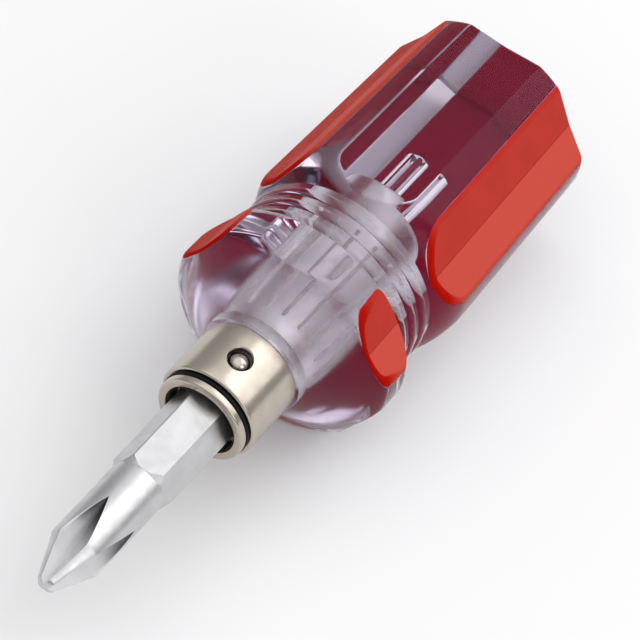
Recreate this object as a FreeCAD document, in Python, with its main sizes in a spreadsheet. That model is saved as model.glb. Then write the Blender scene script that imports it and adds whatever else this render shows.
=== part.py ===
import FreeCAD, Part
import math
import os
import Sketcher

# A pocket screwdriver with a fat clear handle and a double-ended bit.
# The driver's axis is X, with the bit's working tip towards +X, and +Z is up as the tool lies on a table.
# The origin is the centre of the handle's flat back face. All lengths are in millimetres, angles in degrees.
# An "x" size is a distance from the back face. A "roll" is an angle about the axis, from +Z towards +Y.

SIZES = [
    # the outline of the turned form that the handle is cut from
    ("back_radius", 11.9, "radius at the back face"),
    ("back_edge_round", 0.5, "rounding of the back edge"),
    ("barrel_end_x", 24.0, "where the barrel's taper ends"),
    ("barrel_radius", 12.7, "largest radius of the barrel"),
    ("waist_rear_x", 28.2, "rear end of the waist"),
    ("waist_radius", 11.0, "radius of the waist between its beads"),
    ("bead_middle_x", 31.45, "middle one of the three beads"),
    ("bead_pitch", 1.85, "distance from bead to bead"),
    ("bead_half_width", 0.6, "half the width of a bead"),
    ("bead_rise", 0.3, "how far a bead stands out of the waist"),
    ("waist_front_x", 34.1, "front end of the waist"),
    ("bulb_rear_x", 36.0, "rear end of the bulb's full girth"),
    ("bulb_radius", 13.05, "largest radius of the bulb"),
    ("bulb_front_x", 38.6, "front end of the bulb's full girth"),
    ("nose_edge_x", 40.2, "where the nose cone starts"),
    ("nose_edge_radius", 11.8, "radius of the nose cone at its start"),
    ("boss_rear_x", 43.4, "where the nose cone meets the boss"),
    ("boss_radius", 6.0, "radius of the boss that the sleeve butts against"),
    ("handle_front_x", 44.6, "front face of the boss"),
    # the flutes and the red strips in every second one of them
    ("flute_depth_back", 1.1, "how far a flute's middle line lies inside the back radius, at the back face"),
    ("flute_depth_front", 0.8, "how far it lies inside the bulb's radius, carried on to the boss"),
    ("waist_clearance", 0.222, "room between a red flute's cutter and the beads of the waist"),
    ("flute_fall", 3.0, "slope of a flute's two halves towards its middle line"),
    ("flute_reach", 8.0, "half the width of a flute's cutter"),
    ("cutter_radius", 16.0, "radius out to which the cutters reach"),
    ("cutter_margin", 1.0, "how far a cutter runs past what it cuts"),
    ("flutes_per_colour", 3, "clear flutes, and as many red ones"),
    ("clear_roll", 0.0, "roll of the first clear flute"),
    ("red_roll", 60.0, "roll of the first red flute"),
    ("strip_thickness", 0.3, "thickness of a red strip"),
    # the holder tube
    ("tube_radius", 4.75, "outer radius of the holder tube"),
    ("tube_rear_x", 22.0, "rear end of the tube"),
    ("tube_front_x", 51.3, "front end of the tube"),
    ("spigot_rear_x", 50.2, "rear end of the tube's thinner spigot"),
    ("knurl_rear_x", 28.0, "rear end of the tube's straight knurl"),
    ("knurl_front_x", 40.0, "front end of the knurl"),
    ("knurl_teeth", 16, "teeth of the knurl"),
    ("knurl_height", 0.3, "height of a knurl tooth"),
    ("knurl_half_width", 0.36, "half the width of a knurl tooth at its foot"),
    ("shank_clearance", 0.15, "room round the bit's neck in the tube's rear bore"),
    ("socket_clearance", 0.05, "room between the socket's flats and the bit's"),
    ("socket_lead", 0.9, "depth of the lead-in cone at the socket's mouth"),
    ("lead_rim", 0.2, "width of the tube's front face round the lead-in cone"),
    ("seat_clearance", 0.02, "gap of pressed and moulded-in fits"),
    ("pilot_radius", 1.3, "radius of the blind hole behind the tube"),
    ("pilot_rear_x", 13.7, "bottom of the blind hole behind the tube"),
    # the mouth: collar, ring and sleeve
    ("mouth_radius", 4.25, "bore of the collar, and radius of the tube's spigot"),
    ("collar_radius", 5.2, "radius of the collar's flange"),
    ("flange_rear_x", 52.85, "rear face of the collar's flange"),
    ("collar_front_x", 53.7, "front of the collar"),
    ("collar_round", 0.3, "rounding of the flange"),
    ("mouth_bevel", 0.12, "bevel of the collar's bore at its front"),
    ("ring_section", 0.27, "radius of the black ring's section"),
    ("ring_side_gap", 0.015, "gap at each side of the black ring"),
    ("sleeve_radius", 5.7, "outer radius of the sleeve"),
    ("sleeve_round", 0.3, "rounding of the sleeve's ends"),
    ("window_radius", 1.4, "radius of the ball's window in the sleeve"),
    ("window_chamfer", 0.12, "chamfer round the window"),
    # the ball catch
    ("catch_roll", 6.5, "roll of the ball, and of the socket's flat under it"),
    ("ball_x", 48.5, "place of the ball along the axis"),
    ("ball_radius", 1.25, "radius of the ball"),
    ("ball_gap", 0.02, "gap between the ball and the bit's flat"),
    ("ball_hole_clearance", 0.03, "room round the ball in its hole"),
    ("ball_lip_radius", 1.0, "radius of the hole's lip, which keeps the ball in"),
    ("ball_lip_height", 0.3, "height of the lip"),
    ("ball_lift", 0.25, "how far a bit's corner lifts the ball"),
    ("band_air", 0.15, "gap between the tube and the spring band"),
    ("band_thickness", 0.2, "thickness of the spring band"),
    ("band_width", 3.4, "width of the spring band"),
    ("band_wrap", 230.0, "angle that the spring band wraps"),
    ("band_hole_radius", 1.23, "radius of the hole that the ball rides in"),
    ("band_room", 0.05, "room left round the spring band in the sleeve"),
    # the double-ended bit
    ("hex_flats", 6.35, "width across the bit's flats"),
    ("hex_rear_x", 41.7, "rear end of the hexagon, on the socket's step"),
    ("hex_front_x", 64.3, "front end of the hexagon"),
    ("hex_chamfer", 0.9, "length of the cone that bevels the hexagon's corners"),
    ("neck_radius", 3.15, "radius of the round necks on both sides of the hexagon"),
    ("bit_tip_x", 80.0, "tip of the cross-point end"),
    ("cone_start_x", 74.8, "where the cross-point's cone starts"),
    ("tip_edge_x", 79.3, "where the cone meets the blunt tip"),
    ("tip_edge_radius", 1.2, "radius there"),
    ("cross_flutes", 4, "flutes of the cross-point"),
    ("cross_roll", 14.0, "roll of the cross-point against the hexagon, away from +Y"),
    ("cross_core", 0.45, "radius left at the tip between two opposite flutes"),
    ("cross_knee", 4.8, "length of the level part of a cross-point flute"),
    ("cross_knee_core", 0.85, "radius left where the level part ends"),
    ("cross_length", 11.0, "length of a cross-point flute with its run-out"),
    ("cross_reach", 3.6, "half the width of a cross-point flute's cutter"),
    ("bit_rear_x", 26.0, "end of the flat blade"),
    ("blade_thickness", 1.0, "thickness of the flat blade at its end"),
    ("blade_length", 9.0, "length of the flat blade's taper"),
]

# Roundings are ruled from a few chords each: the angle that each kind turns through, and its chords.
ROUNDINGS = {
    "shoulder": (55.0, 3),
    "bulb rear": (70.0, 3),
    "bulb front": (65.0, 3),
    "edge": (90.0, 2),
    "tip": (90.0, 2),
}
BEAD_CHORDS = 2
RING_CHORDS = 8

FULL_TURN = 360.0
SHEET = "Sizes"


class Size:
    """A number that remembers the sheet formula it comes from."""

    def __init__(self, value, formula):
        self.value = float(value)
        self.formula = formula

    def __add__(self, other):
        other = as_size(other)
        return Size(self.value + other.value, f"({self.formula} + {other.formula})")

    def __radd__(self, other):
        return as_size(other) + self

    def __sub__(self, other):
        other = as_size(other)
        return Size(self.value - other.value, f"({self.formula} - {other.formula})")

    def __rsub__(self, other):
        return as_size(other) - self

    def __mul__(self, other):
        other = as_size(other)
        return Size(self.value * other.value, f"({self.formula} * {other.formula})")

    def __rmul__(self, other):
        return as_size(other) * self

    def __truediv__(self, other):
        other = as_size(other)
        return Size(self.value / other.value, f"({self.formula} / {other.formula})")

    def __rtruediv__(self, other):
        return as_size(other) / self

    def __neg__(self):
        return Size(-self.value, f"(-1 * {self.formula})")


def as_size(number):
    """A plain number as a size of its own."""
    if isinstance(number, Size):
        return number
    return Size(number, repr(float(number)))


def tan(angle):
    """Tangent of a size in degrees."""
    return Size(math.tan(math.radians(angle.value)), f"tan({angle.formula})")


def cos(degrees):
    """Cosine of a plain angle in degrees."""
    return as_size(math.cos(math.radians(degrees)))


class Sizes:
    """Every alias of the sheet, as an attribute."""

    def __init__(self, sheet):
        for alias, _, _ in SIZES:
            setattr(self, alias, Size(sheet.get(alias), f"{SHEET}.{alias}"))


def fill_sheet(doc):
    """Write the driving sizes into the document's sheet."""
    sheet = doc.addObject("Spreadsheet::Sheet", SHEET)
    for row, (alias, value, meaning) in enumerate(SIZES, start=1):
        sheet.set(f"A{row}", meaning)
        sheet.set(f"B{row}", str(value))
        sheet.setAlias(f"B{row}", alias)
    doc.recompute()
    return sheet


def bind(thing, prop, size):
    """Tie a property to the sheet."""
    thing.setExpression(prop, as_size(size).formula)


# ---------------------------------------------------------------- sketches

def origin_feature(body, role):
    """A plane or an axis of the body's own origin."""
    for feature in body.Origin.OriginFeatures:
        if feature.Role == role:
            return feature
    raise RuntimeError(f"no {role} in {body.Label}")


def body_sketch(body, name, role):
    """An empty sketch on one of the body's origin planes."""
    sketch = body.newObject("Sketcher::SketchObject", name)
    sketch.AttachmentSupport = [(origin_feature(body, role), "")]
    sketch.MapMode = "FlatFace"
    return sketch


def station_sketch(body, name, station, roll=None):
    """An empty sketch square to the axis at a station, with its vertical turned by a roll."""
    sketch = body_sketch(body, name, "YZ_Plane")
    turn = FreeCAD.Rotation(FreeCAD.Vector(0, 0, 1), roll.value if roll else 0)
    sketch.AttachmentOffset = FreeCAD.Placement(FreeCAD.Vector(0, 0, station.value), turn)
    bind(sketch, "AttachmentOffset.Base.z", station)
    if roll:
        bind(sketch, "AttachmentOffset.Rotation.Angle", roll)
    return sketch


def rounding(level, far, kind):
    """Corners on the way from level, where the outline runs along the axis, round to far."""
    sweep, chords = ROUNDINGS[kind]
    corners = []
    for step in range(1, chords + 1):
        turned = math.radians(sweep * step / chords)
        along = math.sin(turned) / math.sin(math.radians(sweep))
        aside = (1 - math.cos(turned)) / (1 - math.cos(math.radians(sweep)))
        corners.append((level[0] + along * (far[0] - level[0]), level[1] + aside * (far[1] - level[1])))
    return corners


def rounding_back(far, level, kind):
    """The same corners, from far round to level."""
    return rounding(level, far, kind)[-2::-1] + [level]


def place_vertex(sketch, edge, end, across, up):
    """Tie one end of an edge to its place in the sketch."""
    for kind, axis, place in (("DistanceX", -2, across), ("DistanceY", -1, up)):
        if place.value == 0:
            sketch.addConstraint(Sketcher.Constraint("PointOnObject", edge, end, axis))
            continue
        ends = (-1, 1, edge, end) if place.value > 0 else (edge, end, -1, 1)
        index = sketch.addConstraint(Sketcher.Constraint(kind, *ends, abs(place.value)))
        bind(sketch, f"Constraints[{index}]", place if place.value > 0 else -place)


def draw_outline(sketch, corners):
    """Draw a closed outline through its corners, each of them (across, up)."""
    corners = [(as_size(across), as_size(up)) for across, up in corners]
    points = [FreeCAD.Vector(across.value, up.value, 0) for across, up in corners]
    edges = [sketch.addGeometry(Part.LineSegment(points[index - 1], points[index]))
             for index in range(len(points))]
    for index, (across, up) in enumerate(corners):
        following = edges[(index + 1) % len(edges)]
        sketch.addConstraint(Sketcher.Constraint("Coincident", edges[index], 2, following, 1))
        place_vertex(sketch, edges[index], 2, across, up)
    return sketch


def draw_hexagon(sketch, flats):
    """Draw a hexagon with two flats level, by its width across flats."""
    apothem = flats / 2
    corner = apothem / cos(30)
    half = corner / 2
    return draw_outline(sketch, [
        (corner, 0), (half, apothem), (-half, apothem), (-corner, 0), (-half, -apothem), (half, -apothem),
    ])


def draw_circle(sketch, across, up, radius):
    """Draw a circle by its centre and radius."""
    across, up = as_size(across), as_size(up)
    centre = FreeCAD.Vector(across.value, up.value, 0)
    circle = sketch.addGeometry(Part.Circle(centre, FreeCAD.Vector(0, 0, 1), radius.value))
    place_vertex(sketch, circle, 3, across, up)
    size = sketch.addConstraint(Sketcher.Constraint("Radius", circle, radius.value))
    bind(sketch, f"Constraints[{size}]", radius)
    return sketch


# ---------------------------------------------------------------- features

def new_body(doc, label):
    """An empty body with its own label."""
    body = doc.addObject("PartDesign::Body", label)
    body.Label = label
    return body


def spin(body, name, sketch, kind="Revolution"):
    """Turn a sketch about the driver's axis, to add or (Groove) to cut."""
    feature = body.newObject(f"PartDesign::{kind}", name)
    feature.Profile = sketch
    feature.ReferenceAxis = (sketch, ["H_Axis"])
    feature.Angle = FULL_TURN
    body.Document.recompute()
    return feature


def push(body, name, sketch, length, kind="Pad", midplane=False, reverse=False):
    """Push a sketch along its normal, to add (Pad) or to cut (Pocket)."""
    feature = body.newObject(f"PartDesign::{kind}", name)
    feature.Profile = sketch
    feature.Midplane = midplane
    feature.Reversed = reverse
    feature.Length = length.value
    bind(feature, "Length", length)
    body.Document.recompute()
    return feature


def wedge_cut(body, name, sketches):
    """Cut a ruled wedge through two or more stations."""
    cut = body.newObject("PartDesign::SubtractiveLoft", name)
    cut.Profile = sketches[0]
    cut.Sections = sketches[1:]
    cut.Ruled = True
    body.Document.recompute()
    return cut


def ring_of(body, name, feature, count):
    """Repeat a feature evenly round the axis."""
    pattern = body.newObject("PartDesign::PolarPattern", name)
    pattern.Originals = [feature]
    pattern.Axis = (origin_feature(body, "X_Axis"), [""])
    pattern.Angle = FULL_TURN
    pattern.Occurrences = int(count.value)
    bind(pattern, "Occurrences", count)
    body.Tip = pattern
    body.Document.recompute()
    return pattern


def roll_to(thing, roll):
    """Turn a finished piece about the axis, from +Z towards +Y."""
    thing.Placement = FreeCAD.Placement(FreeCAD.Vector(), FreeCAD.Rotation(FreeCAD.Vector(1, 0, 0), 1))
    bind(thing, "Placement.Rotation.Angle", -as_size(roll))


# ---------------------------------------------------------------- handle

def bead_corners(dim):
    """The waist's three beads, from the rear one to the front one."""
    corners = []
    for step in (-1, 0, 1):
        middle = dim.bead_middle_x + step * dim.bead_pitch
        for chord in range(BEAD_CHORDS + 1):
            turned = math.pi * chord / BEAD_CHORDS
            along = middle - math.cos(turned) * dim.bead_half_width
            corners.append((along, dim.waist_radius + math.sin(turned) * dim.bead_rise))
    return corners


def handle_outline(dim):
    """Half section of the turned form that the handle is cut from."""
    back_edge = (as_size(0), dim.back_radius - dim.back_edge_round)
    barrel_back = (dim.back_edge_round, dim.back_radius)
    barrel_front = (dim.barrel_end_x, dim.barrel_radius)
    waist_rear = (dim.waist_rear_x, dim.waist_radius)
    waist_front = (dim.waist_front_x, dim.waist_radius)
    bulb_rear = (dim.bulb_rear_x, dim.bulb_radius)
    bulb_front = (dim.bulb_front_x, dim.bulb_radius)
    nose_edge = (dim.nose_edge_x, dim.nose_edge_radius)
    return [
        (0, 0),
        back_edge,
        barrel_back,
        barrel_front,
        *rounding(barrel_front, waist_rear, "shoulder"),
        *bead_corners(dim),
        waist_front,
        *rounding_back(waist_front, bulb_rear, "bulb rear"),
        bulb_front,
        *rounding(bulb_front, nose_edge, "bulb front"),
        (dim.boss_rear_x, dim.boss_radius),
        (dim.handle_front_x, dim.boss_radius),
        (dim.handle_front_x, 0),
    ]


def flute_outline(dim, crease, depth):
    """Section of a flute's cutter: two halves that fall gently to the middle line."""
    crease = crease - depth
    edge = crease + dim.flute_reach * tan(dim.flute_fall)
    return [
        (0, crease),
        (dim.flute_reach, edge),
        (dim.flute_reach, dim.cutter_radius),
        (-dim.flute_reach, dim.cutter_radius),
        (-dim.flute_reach, edge),
    ]


def flute_stations(dim):
    """The stations between which a flute is ruled, and the radius of its middle line at each."""
    back = dim.back_radius - dim.flute_depth_back
    waist = dim.waist_radius + dim.bead_rise + dim.strip_thickness + dim.waist_clearance
    front = dim.bulb_radius - dim.flute_depth_front
    rear_slope = (waist - back) / dim.bead_middle_x
    front_slope = (front - waist) / (dim.handle_front_x - dim.bead_middle_x)
    return [
        ("back", -dim.cutter_margin, back - rear_slope * dim.cutter_margin),
        ("waist", dim.bead_middle_x, waist),
        ("front", dim.handle_front_x + dim.cutter_margin, front + front_slope * dim.cutter_margin),
    ]


def cut_flutes(body, dim, name, roll, depth):
    """Cut one flute and repeat it round the handle."""
    sketches = []
    for end, station, crease in flute_stations(dim):
        sketch = station_sketch(body, f"{name}_{end}", station, -roll)
        sketches.append(draw_outline(sketch, flute_outline(dim, crease, depth)))
    flute = wedge_cut(body, name, sketches)
    ring_of(body, f"{name}_ring", flute, dim.flutes_per_colour)


def knurl_outline(dim, gap):
    """Section of one tooth of the tube's knurl."""
    foot = dim.tube_radius - dim.knurl_height
    return [
        (dim.knurl_half_width + gap, foot),
        (0, dim.tube_radius + dim.knurl_height + gap),
        (-dim.knurl_half_width - gap, foot),
    ]


def add_knurl(body, dim, kind, gap, roll=None):
    """Raise the knurl on the tube, or (Pocket) cut its seat in the handle."""
    start = dim.knurl_rear_x - gap
    sketch = draw_outline(station_sketch(body, "tooth_section", start, roll), knurl_outline(dim, gap))
    length = dim.knurl_front_x - dim.knurl_rear_x + 2 * gap
    tooth = push(body, "tooth", sketch, length, kind, reverse=(kind == "Pocket"))
    ring_of(body, "knurl", tooth, dim.knurl_teeth)


def handle_bore_outline(dim):
    """Half section of the hollow that the tube and the blind hole behind it leave."""
    seat = dim.tube_radius + dim.seat_clearance
    bottom = dim.tube_rear_x - dim.seat_clearance
    mouth = dim.handle_front_x + dim.cutter_margin
    return [
        (dim.pilot_rear_x, 0),
        (dim.pilot_rear_x + dim.pilot_radius, dim.pilot_radius),
        (bottom, dim.pilot_radius),
        (bottom, seat),
        (mouth, seat),
        (mouth, 0),
    ]


def make_handle(doc, dim):
    """The clear handle: a turned form with flutes, hollowed for the tube."""
    body = new_body(doc, "handle_body")
    form = draw_outline(body_sketch(body, "form_section", "XZ_Plane"), handle_outline(dim))
    spin(body, "turned_form", form)
    cut_flutes(body, dim, "clear_flute", dim.clear_roll, as_size(0))
    cut_flutes(body, dim, "red_flute", dim.red_roll, dim.strip_thickness)
    bore = draw_outline(body_sketch(body, "bore_section", "XZ_Plane"), handle_bore_outline(dim))
    spin(body, "tube_bore", bore, "Groove")
    add_knurl(body, dim, "Pocket", dim.seat_clearance, -dim.catch_roll)
    return [body]


# ---------------------------------------------------------------- red strips

def loose_sketch(doc, name, turn, station):
    """A sketch of its own, turned into place and moved along the axis."""
    sketch = doc.addObject("Sketcher::SketchObject", name)
    sketch.Placement = FreeCAD.Placement(FreeCAD.Vector(station.value, 0, 0), turn)
    bind(sketch, "Placement.Base.x", station)
    return sketch


def strip_cutter(doc, dim, name, depth):
    """A flute's cutter as a solid of its own, with its middle at the top."""
    across, up, normal = FreeCAD.Vector(0, 1, 0), FreeCAD.Vector(0, 0, 1), FreeCAD.Vector(1, 0, 0)
    square_to_axis = FreeCAD.Rotation(across, up, normal)
    sketches = []
    for end, station, crease in flute_stations(dim):
        sketch = loose_sketch(doc, f"{name}_{end}", square_to_axis, station)
        sketches.append(draw_outline(sketch, flute_outline(dim, crease, depth)))
    cutter = doc.addObject("Part::Loft", name)
    cutter.Sections = sketches
    cutter.Solid = True
    cutter.Ruled = True
    return cutter


def turned_blank(doc, dim):
    """The handle's turned form again, for the strips to be cut from."""
    upright = FreeCAD.Rotation(FreeCAD.Vector(1, 0, 0), FreeCAD.Vector(0, 0, 1), FreeCAD.Vector(0, -1, 0))
    sketch = draw_outline(loose_sketch(doc, "blank_section", upright, as_size(0)), handle_outline(dim))
    blank = doc.addObject("Part::Revolution", "blank")
    blank.Source = sketch
    blank.Base = FreeCAD.Vector(0, 0, 0)
    blank.Axis = FreeCAD.Vector(1, 0, 0)
    blank.Angle = FULL_TURN
    blank.Solid = True
    return blank


def waist_divider(doc, dim):
    """A block that holds everything behind the middle of the waist."""
    block = doc.addObject("Part::Box", "rear_half")
    width = 2 * dim.cutter_radius
    bind(block, "Length", dim.bead_middle_x + dim.cutter_margin)
    bind(block, "Width", width)
    bind(block, "Height", width)
    bind(block, "Placement.Base.x", -dim.cutter_margin)
    bind(block, "Placement.Base.y", -dim.cutter_radius)
    bind(block, "Placement.Base.z", -dim.cutter_radius)
    return block


def combine(doc, kind, name, base, tool):
    """A boolean of two objects."""
    result = doc.addObject(f"Part::{kind}", name)
    result.Base = base
    result.Tool = tool
    return result


def make_strips(doc, dim):
    """The red strips: what the deeper flute takes from the turned form and the shallower one leaves."""
    deep = strip_cutter(doc, dim, "deep_cutter", dim.strip_thickness)
    shallow = strip_cutter(doc, dim, "shallow_cutter", as_size(0))
    slab = combine(doc, "Common", "strip_slab", turned_blank(doc, dim), deep)
    both = combine(doc, "Cut", "strip_pair", slab, shallow)
    rear_half = waist_divider(doc, dim)
    doc.recompute()
    masters = {
        "barrel_strip": combine(doc, "Common", "barrel_master", both, rear_half),
        "bulb_strip": combine(doc, "Cut", "bulb_master", both, rear_half),
    }
    pieces = []
    for stem, master in masters.items():
        for turn, side in enumerate(("right", "under", "left")):
            piece = doc.addObject("Part::Compound", f"{stem}_{side}")
            piece.Label = f"{stem}_{side}"
            piece.Links = [master]
            roll_to(piece, dim.red_roll + turn * FULL_TURN / dim.flutes_per_colour)
            pieces.append(piece)
    return pieces


# ---------------------------------------------------------------- holder

def make_tube(doc, dim):
    """The holder tube: a hexagon socket in front, a round bore behind, and the ball's hole."""
    body = new_body(doc, "holder_tube")
    outer = draw_outline(body_sketch(body, "tube_section", "XZ_Plane"), [
        (dim.tube_rear_x, 0),
        (dim.tube_rear_x, dim.tube_radius),
        (dim.spigot_rear_x, dim.tube_radius),
        (dim.spigot_rear_x, dim.mouth_radius - dim.seat_clearance),
        (dim.tube_front_x, dim.mouth_radius - dim.seat_clearance),
        (dim.tube_front_x, 0),
    ])
    spin(body, "turned_tube", outer)
    add_knurl(body, dim, "Pad", as_size(0))
    flats = dim.hex_flats + 2 * dim.socket_clearance
    socket_floor = dim.hex_rear_x - dim.seat_clearance
    socket = draw_hexagon(station_sketch(body, "socket_section", socket_floor), flats)
    push(body, "socket", socket, dim.tube_front_x - socket_floor + dim.cutter_margin, "Pocket", reverse=True)
    bore = draw_circle(station_sketch(body, "bore_section", dim.tube_rear_x - dim.cutter_margin),
                       0, 0, dim.neck_radius + dim.shank_clearance)
    bore_length = socket_floor - dim.tube_rear_x + 2 * dim.cutter_margin
    push(body, "rear_bore", bore, bore_length, "Pocket", reverse=True)
    spin(body, "lead_in", draw_outline(body_sketch(body, "lead_section", "XZ_Plane"), [
        (dim.tube_front_x - dim.socket_lead, flats / 2),
        (dim.tube_front_x, dim.mouth_radius - dim.seat_clearance - dim.lead_rim),
        (dim.tube_front_x, flats / 2),
    ]), "Groove")
    lip = draw_circle(body_sketch(body, "lip_section", "XY_Plane"), dim.ball_x, 0, dim.ball_lip_radius)
    push(body, "ball_lip", lip, dim.cutter_radius, "Pocket", reverse=True)
    hole = body_sketch(body, "hole_section", "XY_Plane")
    bind(hole, "AttachmentOffset.Base.z", flats / 2 + dim.ball_lip_height)
    draw_circle(hole, dim.ball_x, 0, dim.ball_radius + dim.ball_hole_clearance)
    push(body, "ball_hole", hole, dim.cutter_radius, "Pocket", reverse=True)
    roll_to(body, dim.catch_roll)
    return [body]


def ball_height(dim):
    """Distance of the ball's centre from the axis."""
    return dim.hex_flats / 2 + dim.ball_gap + dim.ball_radius


def make_ball(doc, dim):
    """The catch's ball, resting just off the bit's flat."""
    ball = doc.addObject("Part::Sphere", "ball_form")
    bind(ball, "Radius", dim.ball_radius)
    bind(ball, "Placement.Base.x", dim.ball_x)
    bind(ball, "Placement.Base.z", ball_height(dim))
    piece = doc.addObject("Part::Compound", "detent_ball")
    piece.Label = "detent_ball"
    piece.Links = [ball]
    roll_to(piece, dim.catch_roll)
    return [piece]


def make_spring(doc, dim):
    """The spring band that wraps the tube, with a hole that the ball rides in."""
    body = new_body(doc, "ball_spring")
    inner = dim.tube_radius + dim.band_air
    outer = inner + dim.band_thickness
    rear = dim.ball_x - dim.band_width / 2
    front = dim.ball_x + dim.band_width / 2
    section = draw_outline(body_sketch(body, "band_section", "XZ_Plane"), [
        (rear, inner), (rear, outer), (front, outer), (front, inner),
    ])
    band = spin(body, "band", section)
    band.Midplane = True
    bind(band, "Angle", dim.band_wrap)
    doc.recompute()
    hole = draw_circle(body_sketch(body, "hole_section", "XY_Plane"), dim.ball_x, 0, dim.band_hole_radius)
    push(body, "ball_hole", hole, dim.cutter_radius, "Pocket", reverse=True)
    roll_to(body, dim.catch_roll)
    return [body]


def ring_gap_front(dim):
    """Front face of the sleeve, which leaves just the black ring's room before the flange."""
    return dim.flange_rear_x - 2 * (dim.ring_section + dim.ring_side_gap)


def window_rim(shape, dim):
    """Names of the edges where the ball's window meets the sleeve's outside."""
    names = []
    for number, edge in enumerate(shape.Edges, start=1):
        box = edge.BoundBox
        at_window = abs(box.XMin - dim.ball_x.value) < 1.01 * dim.window_radius.value
        if at_window and box.XMax < dim.ball_x.value + 1.01 * dim.window_radius.value:
            if box.ZMin > 0 and abs(box.ZMax - dim.sleeve_radius.value) < dim.window_chamfer.value:
                names.append(f"Edge{number}")
    return names


def make_sleeve(doc, dim):
    """The plated sleeve over the tube, with a groove inside for the spring band and the ball's window."""
    body = new_body(doc, "outer_sleeve")
    bore = dim.tube_radius + dim.seat_clearance
    rear = dim.handle_front_x + dim.seat_clearance
    front = ring_gap_front(dim)
    rim = dim.sleeve_radius - dim.sleeve_round
    rear_level = (rear + dim.sleeve_round, dim.sleeve_radius)
    front_level = (front - dim.sleeve_round, dim.sleeve_radius)
    section = draw_outline(body_sketch(body, "sleeve_section", "XZ_Plane"), [
        (rear, bore),
        (rear, rim),
        *rounding_back((rear, rim), rear_level, "edge"),
        front_level,
        *rounding(front_level, (front, rim), "edge"),
        (front, bore),
    ])
    spin(body, "turned_sleeve", section)
    half_room = dim.band_width / 2 + dim.band_room
    groove_radius = dim.tube_radius + dim.band_air + dim.band_thickness + dim.ball_lift + dim.band_room
    groove = draw_outline(body_sketch(body, "groove_section", "XZ_Plane"), [
        (dim.ball_x - half_room, 0),
        (dim.ball_x - half_room, groove_radius),
        (dim.ball_x + half_room, groove_radius),
        (dim.ball_x + half_room, 0),
    ])
    spin(body, "band_groove", groove, "Groove")
    circle = draw_circle(body_sketch(body, "window_section", "XY_Plane"), dim.ball_x, 0, dim.window_radius)
    window = push(body, "window", circle, dim.cutter_radius, "Pocket", reverse=True)
    chamfer = body.newObject("PartDesign::Chamfer", "window_rim")
    chamfer.Base = (window, window_rim(window.Shape, dim))
    bind(chamfer, "Size", dim.window_chamfer)
    roll_to(body, dim.catch_roll)
    return [body]


def make_collar(doc, dim):
    """The flanged collar: its skirt grips the tube's spigot and its flange frames the mouth."""
    body = new_body(doc, "front_collar")
    inner = dim.mouth_radius
    rear = dim.spigot_rear_x + dim.seat_clearance
    front = dim.collar_front_x
    outer_level = (front - dim.collar_round, dim.collar_radius)
    spin(body, "turned_collar", draw_outline(body_sketch(body, "collar_section", "XZ_Plane"), [
        (rear, inner),
        (rear, dim.tube_radius),
        (dim.flange_rear_x, dim.tube_radius),
        (dim.flange_rear_x, dim.collar_radius),
        outer_level,
        *rounding(outer_level, (front, dim.collar_radius - dim.collar_round), "edge"),
        (front, inner + dim.mouth_bevel),
        (front - dim.mouth_bevel, inner),
    ]))
    return [body]


def make_ring(doc, dim):
    """The black ring on the collar's skirt, with a round section of a few chords."""
    body = new_body(doc, "seal_ring")
    middle = dim.flange_rear_x - dim.ring_side_gap - dim.ring_section
    corners = []
    for chord in range(RING_CHORDS):
        turned = 2 * math.pi * (chord + 0.5) / RING_CHORDS
        reach = dim.ring_section / math.cos(math.pi / RING_CHORDS)
        height = dim.tube_radius + dim.ring_section + math.sin(turned) * reach
        corners.append((middle + math.cos(turned) * reach, height))
    spin(body, "turned_ring", draw_outline(body_sketch(body, "ring_section", "XZ_Plane"), corners))
    return [body]


# ---------------------------------------------------------------- bit

def bevel_outline(dim, face, inward):
    """Half section of the cone that bevels the hexagon's corners at one of its ends."""
    top = dim.hex_flats / 2 / cos(30)
    over = top + dim.cutter_margin
    run = dim.hex_chamfer * inward
    return [(face, dim.neck_radius), (face, over), (face + run, over), (face + run, top)]


def cross_outline(dim, core):
    """Section of a cross-point flute's cutter: a square corner that points at the axis."""
    return [(0, core), (dim.cross_reach, core + dim.cross_reach), (-dim.cross_reach, core + dim.cross_reach)]


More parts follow.
